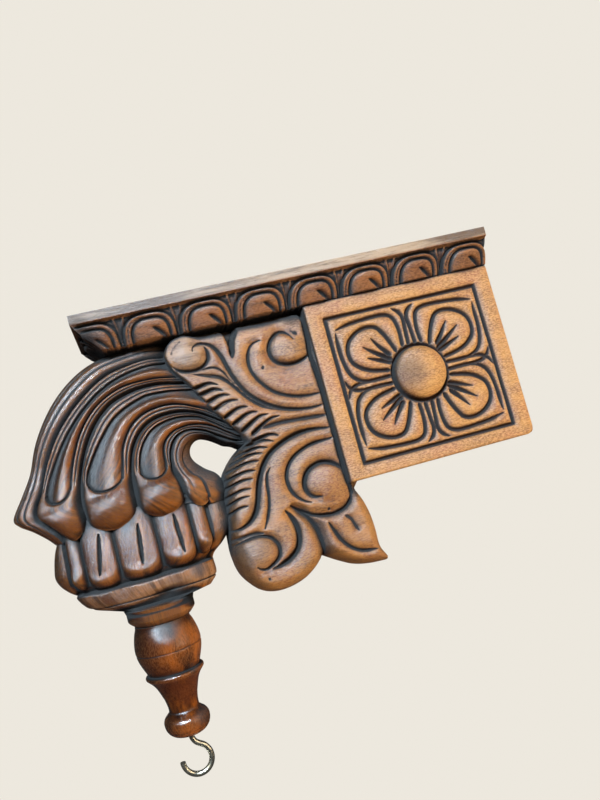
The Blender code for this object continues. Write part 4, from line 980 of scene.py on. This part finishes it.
def block():
    """The block that meets the wall, with a four-petal flower on each face."""
    foot = -BLOCK_HEIGHT / 2
    worn = BLOCK_WORN_CORNER
    corners = [(0, BODY_TOP), (0, foot + worn), (-worn * 0.4, foot + worn * 0.3), (-worn * 1.3, foot),
               (-BLOCK_WIDTH, foot), (-BLOCK_WIDTH, BODY_TOP)]
    sides = zip(corners, corners[1:] + corners[:1])
    outline = np.vstack([smooth([start, end], LINE_STEP)[:-1] for start, end in sides])
    closed = close_line(outline)
    centre = np.array([-FLOWER_CENTRE[0] / DRAWN_BLOCK * BLOCK_WIDTH,
                       BODY_TOP - (FLOWER_CENTRE[1] - DRAWN_SHELF) / DRAWN_BLOCK_TALL * BLOCK_HEIGHT])
    half_wide, half_tall = FLOWER_FRAME[0] * MM, FLOWER_FRAME[1] * MM
    cuts = []
    frame_corners = [(1, 1), (-1, 1), (-1, -1), (1, -1), (1, 1)]
    for (a, b), (c, d) in zip(frame_corners, frame_corners[1:]):
        side = [centre + (a * half_wide, b * half_tall), centre + (c * half_wide, d * half_tall)]
        cuts.append(Cut(side, 2.5, 2.1, 1.0, taper=(0, 0), drawn=False))
    turn = np.linspace(0, math.tau, 41)
    ring = centre + np.stack([np.cos(turn), np.sin(turn)], axis=1) * (BOSS_RADIUS + 0.0004)
    cuts.append(Cut(ring, 2.4, 2.4, 1.6, taper=(0, 0), drawn=False))
    for side in (1, -1):
        for rise in (1, -1):
            for points, width, depth, taper in PETAL_CUTS:
                line = centre + np.array(points) * MM * (-side, rise)
                cuts.append(Cut(line, width * PETAL_CUT_WIDER, depth * PETAL_CUT_DEEPER, 1.5, 0.85, 0.85,
                                taper=taper, drawn=False))

    def half_depth(points):
        gap = edge_gap(points, closed)
        away = np.linalg.norm(points - centre, axis=1) / (BOSS_RADIUS * 0.97)
        dome = BOSS_RISE * np.sqrt(np.clip(1 - away ** 2, 0, 1))
        core, soft = cut_depth(cuts, points)
        edge = BLOCK_ROUNDING * (1 - np.sqrt(1 - (1 - np.clip(gap / BLOCK_ROUNDING, 0, 1)) ** 2))
        wobble = unevenness(np.column_stack([points, np.ones(len(points))]), BLOCK_UNEVEN)
        return HALF_BLOCK + dome - core - soft * (away > 1) - edge + wobble * np.clip(gap / 0.003, 0, 1)

    return slab(outline, cuts, half_depth, 0.0013, 0.0005)


# The moulding, and its side as (share of the overhang, share of the height down)
MOULDING_LENGTH = 0.2516
MOULDING_HEIGHT = 0.0203
MOULDING_OVERHANG = 0.0090
MOULDING_END_OVERHANG = 0.0140
MOULDING_SIDE = [(1.0, 0.0), (1.0, 0.26), (0.93, 0.31), (0.83, 0.42), (0.60, 0.60), (0.28, 0.80), (0.0, 1.0)]
FIRST_EGG = 0.0135
EGG_PITCH = 0.0326
EGG_TOP = 14.1
CORNER_FADE = 0.0035


def egg_relief(offset, height):
    """Carving of the moulding, in millimetres. offset is from an egg's middle, height from the foot."""
    height = np.clip(height, 0, None)
    egg = (np.abs(offset / 10.2) ** 3 + (height / 10.0) ** 3) ** (1 / 3)
    petal = (np.abs((offset - 0.5) / 14.7) ** 2.9 + (height / 13.2) ** 2.9) ** (1 / 2.9)
    push = 2.4 * np.sqrt(np.clip(1 - egg ** 2.6, 0, 1))
    push = push - 2.0 * hump(egg - 1.06, 0.06)
    push = push - 0.9 * hump(petal - 0.87, 0.022) * np.clip((offset - 1) / 3, 0, 1)
    push = push - 2.0 * hump(petal - 1.03, 0.05)
    between = 16.3 - np.abs(offset)
    blade = 0.75 * hump(between - 0.9 - height * 0.13, 0.55)
    push = push + np.clip((petal - 1.0) / 0.05, 0, 1) * (-2.7 + 1.5 * blade)
    bend = offset + 1.5 + (6.0 - height) * 1.1
    push = push - 2.6 * hump(bend, 1.5) * np.clip((6.0 - height) / 2, 0, 1) ** 0.5
    return push * (height < EGG_TOP) * np.clip((EGG_TOP - height) / 0.3, 0, 1)


def moulding():
    """The shelf moulding, with a row of petals on its front, back and outer end."""
    profile = []
    for (a, b), (c, d) in zip(MOULDING_SIDE, MOULDING_SIDE[1:]):
        count = 5 if b < 0.2 else max(3, round((d - b) / 0.026))
        profile += [(a + (c - a) * k / count, b + (d - b) * k / count) for k in range(count)]
    profile.append(MOULDING_SIDE[-1])
    profile = np.array(profile)
    share, down = profile[:, 0], profile[:, 1]
    height = (1 - down) * MOULDING_HEIGHT * 1000
    z = BODY_TOP + FIT_GAP + MOULDING_HEIGHT * (1 - down)
    scribe = -1.5 * hump(height - 14.3, 0.38)
    reach = MOULDING_LENGTH - MOULDING_END_OVERHANG * (1 - share)
    width = HALF_BLOCK + MOULDING_OVERHANG * share

    def carving(along, to_corner):
        """How far the carving stands out, along from the middle of an egg, and less near a corner."""
        offset = (along / EGG_PITCH + 0.5) % 1.0 - 0.5
        push = (egg_relief(offset * EGG_PITCH * 1000, height) + scribe) * MM
        return push * np.clip(to_corner / CORNER_FADE, 0, 1)

    def front(side, t):
        x = -t * reach
        push = carving(-x - FIRST_EGG, reach + x)
        return np.stack([x, side * (width + push), z], axis=1)

    def outer_end(t):
        y = t * width
        push = carving(y, width - np.abs(y)) * ease(height, 3.0, 8.0)
        return np.stack([-reach - push, y, z], axis=1)

    shares = np.concatenate([np.linspace(0, 0.99, 380), np.linspace(0.99, 1, 7)[1:-1]])
    columns = [front(-1, t) for t in shares]
    columns += [outer_end(t) for t in np.linspace(-1, 1, 110)]
    columns += [front(1, t) for t in shares[::-1]]
    count, size = len(columns), len(profile)
    points = np.vstack(columns)
    index = np.arange(count * size).reshape(count, size)
    quads = np.stack([index[:-1, :-1], index[:-1, 1:], index[1:, 1:], index[1:, :-1]], axis=-1).reshape(-1, 4)
    faces = [tuple(quad) for quad in quads]
    side = len(shares)
    for level in (0, size - 1):
        rim = index[:, level]
        for i in range(side - 1):
            faces.append((rim[i], rim[i + 1], rim[count - 2 - i], rim[count - 1 - i]))
        faces.append(tuple(rim[side - 1:count - side + 1]))
    faces.append(tuple(index[0]) + tuple(index[-1][::-1]))
    return points, faces


# The drop's turning: drop, radius. And its scribed lines: drop, depth, width.
DROP_LENGTH = 0.0653
DROP_PROFILE = [(0.0, 15.9), (1.5, 16.2), (4.5, 17.4), (8.5, 18.5), (12.0, 19.05), (15.0, 19.15),
                (19.0, 18.6), (23.0, 17.3), (26.5, 15.9), (28.2, 15.3), (28.7, 15.1), (29.1, 16.2),
                (29.6, 16.9), (30.6, 17.0), (31.6, 16.2), (33.0, 14.9), (34.7, 13.6), (37.0, 12.3),
                (39.8, 11.2), (43.0, 10.1), (45.5, 9.4), (48.5, 8.9), (51.0, 8.8), (52.2, 9.2),
                (53.4, 10.5), (55.0, 12.2), (56.8, 13.1), (58.5, 13.25), (60.5, 13.0), (62.6, 12.1),
                (64.3, 10.6), (65.5, 8.6), (66.0, 6.2)]
DROP_LINES = [(15.8, 0.45, 0.28), (61.5, 0.3, 0.22), (43.6, 0.2, 0.22)]
DROP_SIDES = 128

# The hook: radius of its wire and its eye, length of its shank, and the angles of its bend in degrees
WIRE_RADIUS = 0.0016
HOOK_RADIUS = 0.0084
HOOK_SHANK = 0.0065
HOOK_START = 62
HOOK_END = -183


def drop_axis():
    """The drop's axis and its top, as x and z."""
    return place((DRAWN_DROP_AXIS, DRAWN_COLLAR_FOOT))


def turned_drop():
    """The lathe-turned drop with its scribed lines."""
    x, top = drop_axis()
    curve = smooth(np.array(DROP_PROFILE), 0.45)
    turn = np.arange(DROP_SIDES) * math.tau / DROP_SIDES
    rings = []
    for drop, radius in curve * (DROP_LENGTH / DROP_PROFILE[-1][0] / MM, 1):
        line = sum(depth * hump(drop - spot, width) for spot, depth, width in DROP_LINES)
        out = (radius - line) * MM
        z = np.full(DROP_SIDES, top - FIT_GAP - drop * MM)
        rings.append(np.stack([x + out * np.cos(turn), out * np.sin(turn), z], axis=1))
    return tube_grid(rings)


def hook():
    """The bent wire hook under the drop."""
    x, top = drop_axis()
    top = top - FIT_GAP * 2 - DROP_LENGTH
    centre = top - HOOK_SHANK - HOOK_RADIUS
    bend = [(0, 0), (0, 0.2), (0, 0.4), (0.07, 0.65), (0.2, 0.9)]
    route = [(x + HOOK_RADIUS * out, top - HOOK_SHANK * down) for out, down in bend]
    for k in range(49):
        angle = math.radians(HOOK_START + (HOOK_END - HOOK_START) * k / 48)
        route.append((x + HOOK_RADIUS * math.cos(angle), centre + HOOK_RADIUS * math.sin(angle)))
    curve = bpy.data.curves.new("wire_hook", "CURVE")
    curve.dimensions = "3D"
    curve.bevel_depth = WIRE_RADIUS
    curve.bevel_resolution = 6
    curve.use_fill_caps = True
    route = smooth(np.array(route), 0.0006)
    spline = curve.splines.new("POLY")
    spline.points.add(len(route) - 1)
    for point, (a, b) in zip(spline.points, route):
        point.co = (a, 0, b, 1)
    made = bpy.data.objects.new("wire_hook", curve)
    bpy.context.scene.collection.objects.link(made)
    return made


class Shader:
    """Builds a node material step by step."""

    def __init__(self, name):
        self.material = bpy.data.materials.new(name)
        self.material.use_nodes = True
        self.nodes = self.material.node_tree.nodes
        self.links = self.material.node_tree.links
        self.surface = self.nodes["Principled BSDF"]

    def add(self, kind, **settings):
        """A new node with its settings."""
        node = self.nodes.new(kind)
        for name, value in settings.items():
            setattr(node, name, value)
        return node

    def join(self, source, target):
        self.links.new(source, target)

    def attribute(self, name, output="Fac"):
        return self.add("ShaderNodeAttribute", attribute_name=name).outputs[output]

    def noise(self, coordinates, stretch, scale, detail=4.0, roughness=0.55):
        """Noise over the coordinates, stretched by the given scales."""
        mapping = self.add("ShaderNodeMapping")
        mapping.inputs["Scale"].default_value = stretch
        self.join(coordinates, mapping.inputs["Vector"])
        node = self.add("ShaderNodeTexNoise")
        node.inputs["Scale"].default_value = scale
        node.inputs["Detail"].default_value = detail
        node.inputs["Roughness"].default_value = roughness
        self.join(mapping.outputs["Vector"], node.inputs["Vector"])
        return node.outputs["Fac"]

    def step(self, value, low, high, start=0.0, end=1.0):
        """A smooth step from start at low to end at high."""
        node = self.add("ShaderNodeMapRange", interpolation_type="SMOOTHSTEP")
        for name, number in (("From Min", low), ("From Max", high), ("To Min", start), ("To Max", end)):
            node.inputs[name].default_value = number
        self.join(value, node.inputs["Value"])
        return node.outputs["Result"]

    def math(self, operation, a, b):
        node = self.add("ShaderNodeMath", operation=operation)
        for socket, value in zip(node.inputs, (a, b)):
            if isinstance(value, (int, float)):
                socket.default_value = value
            else:
                self.join(value, socket)
        return node.outputs[0]

    def mix(self, share, a, b):
        """Colour a, with the given share of colour b."""
        node = self.add("ShaderNodeMix", data_type="RGBA", blend_type="MIX")
        if isinstance(share, (int, float)):
            node.inputs[0].default_value = share
        else:
            self.join(share, node.inputs[0])
        for socket, value in ((node.inputs[6], a), (node.inputs[7], b)):
            if isinstance(value, tuple):
                socket.default_value = (*value, 1)
            else:
                self.join(value, socket)
        return node.outputs[2]


def wood(name, gold, brown, red, dark, worn, roughness, shade_strength, grain_axis=(30, 400, 400), bumps=0.75):
    """Stained, waxed wood: grain, blotches, stain and painted shade in cuts, wear and painted highlight on
    ridges.

    Each step lies between the noise, openness or depth in millimetres where a tone begins and where it
    is full.
    """
    shader = Shader(name)
    where = shader.attribute("grain", "Vector")
    fine_depth = shader.attribute("fine_depth")
    broad_depth = shader.attribute("broad_depth")
    # Painted shade, stored on each point
    painted_shade = shader.attribute("painted_shade")
    fibres = shader.noise(where, grain_axis, 3.0, 6.0, 0.7)
    streaks = shader.noise(where, tuple(value / 6 for value in grain_axis), 3.0, 4.0, 0.6)
    blotches = shader.noise(where, (1, 1, 1), 42.0, 3.0, 0.5)
    stipple = shader.noise(where, tuple(0.3 if value < 100 else 1 for value in grain_axis), 1700.0, 4.0, 0.75)
    colour = shader.mix(shader.step(streaks, 0.36, 0.64), brown, gold)
    colour = shader.mix(shader.step(blotches, 0.44, 0.64), colour, red)
    hair = shader.math("MULTIPLY", shader.step(fibres, 0.50, 0.70), 0.55)
    colour = shader.mix(hair, colour, dark)
    pits = shader.math("MULTIPLY", shader.step(stipple, 0.46, 0.66), 0.42)
    colour = shader.mix(pits, colour, dark)
    relief = shader.math("ADD", fine_depth, shader.math("MULTIPLY", broad_depth, 0.5))
    # Raised places take the worn colour: wear, and a painted highlight on the ridges.
    ridge = shader.step(relief, -0.04, -0.45)
    ridge_highlight_and_wear = shader.math("MULTIPLY", ridge, shader.step(stipple, 0.56, 0.42, 0.15, 0.85))
    colour = shader.mix(ridge_highlight_and_wear, colour, worn)
    # Pale grey where that share is set: bare wood, and painted sheen and highlight.
    greyed = shader.mix(shader.step(streaks, 0.38, 0.62), (0.13, 0.09, 0.065), (0.44, 0.38, 0.32))
    greyed = shader.mix(hair, greyed, dark)
    colour = shader.mix(shader.attribute("bare_and_sheen"), colour, greyed)
    # Painted shade, partly stain: darker where the occlusion finds the wood closed in and in broad hollows,
    # patchy with the blotches.
    near = shader.add("ShaderNodeAmbientOcclusion", samples=8)
    near.inputs["Distance"].default_value = 0.010
    open_share = near.outputs["AO"]
    broad_shade_and_stain = shader.math("MAXIMUM", shader.step(open_share, 0.99, 0.62), shader.step(broad_depth, -0.10, 0.65))
    broad_shade_and_stain = shader.math("MULTIPLY", broad_shade_and_stain, shader.step(blotches, 0.30, 0.62, 0.68, 0.97))
    colour = shader.mix(broad_shade_and_stain, colour, dark)
    # Painted shade: nearly black where the wood is closed in, scaled by the wood's strength of painted shade.
    shaded = shader.math("MULTIPLY", shader.step(open_share, 0.92, 0.42), shade_strength)
    # Stain and painted shade in the fine cuts and the broad hollows.
    low = shader.step(fine_depth, 0.015, 0.17)
    hollow = shader.math("MULTIPLY", shader.step(broad_depth, 0.12, 1.1), 0.8)
    # All of these go nearly black together: painted shade, with stain in the cuts.
    stain_and_shade = shader.math("MAXIMUM", shader.math("MAXIMUM", low, hollow), shader.math("MAXIMUM", shaded, painted_shade))
    colour = shader.mix(stain_and_shade, colour, tuple(value * 0.28 for value in dark))
    shader.join(colour, shader.surface.inputs["Base Color"])
    waxed = roughness - 0.08
    gloss = shader.step(stipple, 0.38, 0.64, waxed, waxed + 0.4 * bumps)
    gloss = shader.math("ADD", gloss, shader.math("MULTIPLY", stain_and_shade, 0.65))
    shader.join(gloss, shader.surface.inputs["Roughness"])
    bump = shader.add("ShaderNodeBump")
    bump.inputs["Strength"].default_value = bumps
    bump.inputs["Distance"].default_value = 0.0005
    height = shader.math("ADD", shader.math("MULTIPLY", fibres, 0.8), stipple)
    shader.join(height, bump.inputs["Height"])
    shader.join(bump.outputs["Normal"], shader.surface.inputs["Normal"])
    shader.surface.inputs["Specular IOR Level"].default_value = 0.45
    return shader.material


def metal(name):
    """Bright wire with brown marks."""
    shader = Shader(name)
    where = shader.add("ShaderNodeTexCoord").outputs["Object"]
    marks = shader.noise(where, (1, 1, 1), 420.0, 4.0, 0.6)
    colour = shader.mix(shader.step(marks, 0.42, 0.68), (0.66, 0.60, 0.47), (0.34, 0.27, 0.17))
    shader.join(colour, shader.surface.inputs["Base Color"])
    shader.join(shader.step(marks, 0.3, 0.7, 0.18, 0.38), shader.surface.inputs["Roughness"])
    shader.surface.inputs["Metallic"].default_value = 1.0
    return shader.material


def plain(name, colour):
    """Paper that shows the same colour everywhere."""
    shader = Shader(name)
    shader.surface.inputs["Base Color"].default_value = (0, 0, 0, 1)
    shader.surface.inputs["Roughness"].default_value = 1.0
    shader.surface.inputs["Specular IOR Level"].default_value = 0.0
    shader.surface.inputs["Emission Color"].default_value = (*colour, 1)
    shader.surface.inputs["Emission Strength"].default_value = 1.0
    return shader.material


def stage():
    """A pale floor that curves up into a backdrop, far behind the part."""
    cream = plain("cream_paper", (0.846, 0.807, 0.730))
    data = bpy.data.meshes.new("paper")
    profile = [(-3.0, -1.1), (2.2, -1.1)]
    turns = np.linspace(0.1, math.pi / 2, 14)
    profile += [(2.2 + 0.8 * math.sin(a), -0.3 - 0.8 * math.cos(a)) for a in turns]
    profile.append((3.0, 3.5))
    points = [(x, y, z) for y, z in profile for x in (-5.0, 5.0)]
    faces = [(2 * i, 2 * i + 1, 2 * i + 3, 2 * i + 2) for i in range(len(profile) - 1)]
    data.from_pydata(points, [], faces)
    data.shade_smooth()
    data.materials.append(cream)
    made = bpy.data.objects.new("paper", data)
    made.visible_diffuse = False
    made.visible_glossy = False
    bpy.context.scene.collection.objects.link(made)


def light(name, place_at, aim, size, power, colour, matt=True, gloss=True):
    """A square lamp. matt and gloss say whether it lights the wood itself and its sheen."""
    lamp = bpy.data.lights.new(name, "AREA")
    lamp.size = size
    lamp.energy = power
    lamp.color = colour
    made = bpy.data.objects.new(name, lamp)
    made.location = place_at
    made.visible_diffuse = matt
    made.visible_glossy = gloss
    direction = Vector(aim) - Vector(place_at)
    made.rotation_euler = direction.to_track_quat("-Z", "Y").to_euler()
    bpy.context.scene.collection.objects.link(made)


def lighting():
    """A cool window on the left, warm light from the right and below, and a little from behind."""
    middle = (-0.15, 0, -0.03)
    window, window_sheen = (-0.85, -0.62, 0.46), (-0.50, -0.86, 0.50)
    right = (0.52, -0.76, 0.10)
    light("window", window, middle, 0.36, 2.5, (0.76, 0.88, 1.0))
    light("window_sheen", window_sheen, middle, 0.24, 66, (0.66, 0.84, 1.0), matt=False)
    light("front_right", right, middle, 0.40, 11.5, (1.0, 0.79, 0.53), gloss=False)
    light("warm_sheen", right, middle, 0.7, 7, (1.0, 0.84, 0.62), matt=False)
    light("low_right", (0.05, -0.70, -0.58), middle, 0.4, 3.5, (1.0, 0.60, 0.26), gloss=False)
    light("behind", (-0.45, 1.05, 0.30), middle, 0.7, 6, (1.0, 0.90, 0.78), gloss=False)
    world = bpy.data.worlds.new("room")
    world.use_nodes = True
    background = world.node_tree.nodes["Background"].inputs
    background["Color"].default_value = (0.80, 0.84, 0.90, 1)
    background["Strength"].default_value = 0.08
    bpy.context.scene.world = world
    bpy.context.scene.view_settings.view_transform = "Standard"


# The photo's camera: place, yaw, pitch and roll in degrees, lens and sensor in millimetres, shift
CAMERA_PLACE = (-0.235422, -0.376271, -0.038040)
CAMERA_TURNS = (8.965, 3.422, -14.985)
CAMERA_LENS = 28.611
CAMERA_SENSOR = 36
CAMERA_SHIFT = (0.08125, 0.0584)


def camera():
    """The camera that took the photo."""
    yaw, pitch, roll = (math.radians(a) for a in CAMERA_TURNS)
    ahead = Vector((math.sin(yaw) * math.cos(pitch), math.cos(yaw) * math.cos(pitch), math.sin(pitch)))
    level = Vector((math.cos(yaw), -math.sin(yaw), 0))
    upright = level.cross(ahead)
    right = level * math.cos(roll) + upright * math.sin(roll)
    up = upright * math.cos(roll) - level * math.sin(roll)
    data = bpy.data.cameras.new("camera")
    data.sensor_width = CAMERA_SENSOR
    data.lens = CAMERA_LENS
    data.shift_x, data.shift_y = CAMERA_SHIFT
    made = bpy.data.objects.new("camera", data)
    turn = Matrix((right, up, -ahead)).transposed().to_4x4()
    made.matrix_world = Matrix.Translation(CAMERA_PLACE) @ turn
    bpy.context.scene.collection.objects.link(made)
    bpy.context.scene.camera = made


def fillet_wear_and_highlight(points):
    """The moulding's top fillet, where the stain has gone, and a painted highlight on its top face."""
    foot = BODY_TOP + FIT_GAP
    return ease(points[:, 2], foot + MOULDING_HEIGHT * 0.74, foot + MOULDING_HEIGHT * 0.78)


def leaf_painted_sheen(points):
    """The leaves painted paler on the bosses and feathers next to the arm: a painted sheen."""
    spots = [((191.0, 33.0), 10.0, 0.60), ((176.0, 53.0), 10.0, 0.40), ((183.0, 118.0), 9.0, 0.35),
             ((183.0, 150.0), 9.0, 0.45)]
    pale = np.zeros(len(points))
    for centre, radius, strength in spots:
        pale = np.maximum(pale, strength * np.exp(-(away_from(points, centre) / (radius * MM)) ** 3))
    return pale


def worn_disc(points):
    """The disc under the bell, with a band worn through its stain."""
    top, foot = place((0, 148.0))[1], place((0, 158.0))[1]
    return 0.30 * ease(points[:, 2], foot - 0.002, foot) * (1 - ease(points[:, 2], top - 0.001, top))


# worn is wear and also a painted highlight on the ridges; the strength given after the roughness is that of
# the painted shade where the wood is closed in.
tan_wood = wood(
    "block_wood", gold=(0.54, 0.295, 0.08), brown=(0.26, 0.122, 0.038), red=(0.35, 0.14, 0.065),
    dark=(0.06, 0.026, 0.012), worn=(0.62, 0.40, 0.18), roughness=0.36, shade_strength=0.9)
leaf_wood = wood(
    "leaf_wood", gold=(0.50, 0.235, 0.052), brown=(0.14, 0.064, 0.024), red=(0.27, 0.10, 0.032),
    dark=(0.022, 0.011, 0.007), worn=(0.46, 0.28, 0.13), roughness=0.28, shade_strength=0.95)
brown_wood = wood(
    "arm_wood", gold=(0.40, 0.15, 0.027), brown=(0.052, 0.025, 0.013), red=(0.15, 0.048, 0.015),
    dark=(0.008, 0.005, 0.004), worn=(0.30, 0.165, 0.078), roughness=0.22, shade_strength=0.95)
edge_wood = wood(
    "shelf_wood", gold=(0.30, 0.115, 0.020), brown=(0.06, 0.026, 0.011), red=(0.13, 0.040, 0.012),
    dark=(0.009, 0.006, 0.004), worn=(0.33, 0.18, 0.09), roughness=0.34, shade_strength=1.0)
lathe_wood = wood(
    "lathe_wood", gold=(0.38, 0.12, 0.018), brown=(0.018, 0.008, 0.005), red=(0.10, 0.030, 0.011),
    dark=(0.006, 0.004, 0.003), worn=(0.30, 0.13, 0.055), roughness=0.20, shade_strength=0.9,
    grain_axis=(220, 220, 60), bumps=0.28)
steel = metal("wire_steel")

points, faces = leaves()
wood_piece("carved_leaves", points, faces, leaf_wood, "carved_body", bare_and_sheen=leaf_painted_sheen)
points, faces = block()
wood_piece("carved_block", points, faces, tan_wood, "carved_body")
points, faces, flow = arm()
wood_piece("carved_arm", points, faces, brown_wood, "carved_body", flow)
points, faces, flow = bell()
wood_piece("carved_bell", points, faces, brown_wood, "carved_body", flow, worn_disc)
points, faces = moulding()
wood_piece("petal_moulding", points, faces, edge_wood, "top_moulding", bare_and_sheen=fillet_wear_and_highlight)
points, faces = turned_drop()
wood_piece("lathe_drop", points, faces, lathe_wood, "turned_drop")
wire = hook()
wire.data.materials.append(steel)
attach(wire, "root")
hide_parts("screw_hook")

stage()
lighting()
camera()
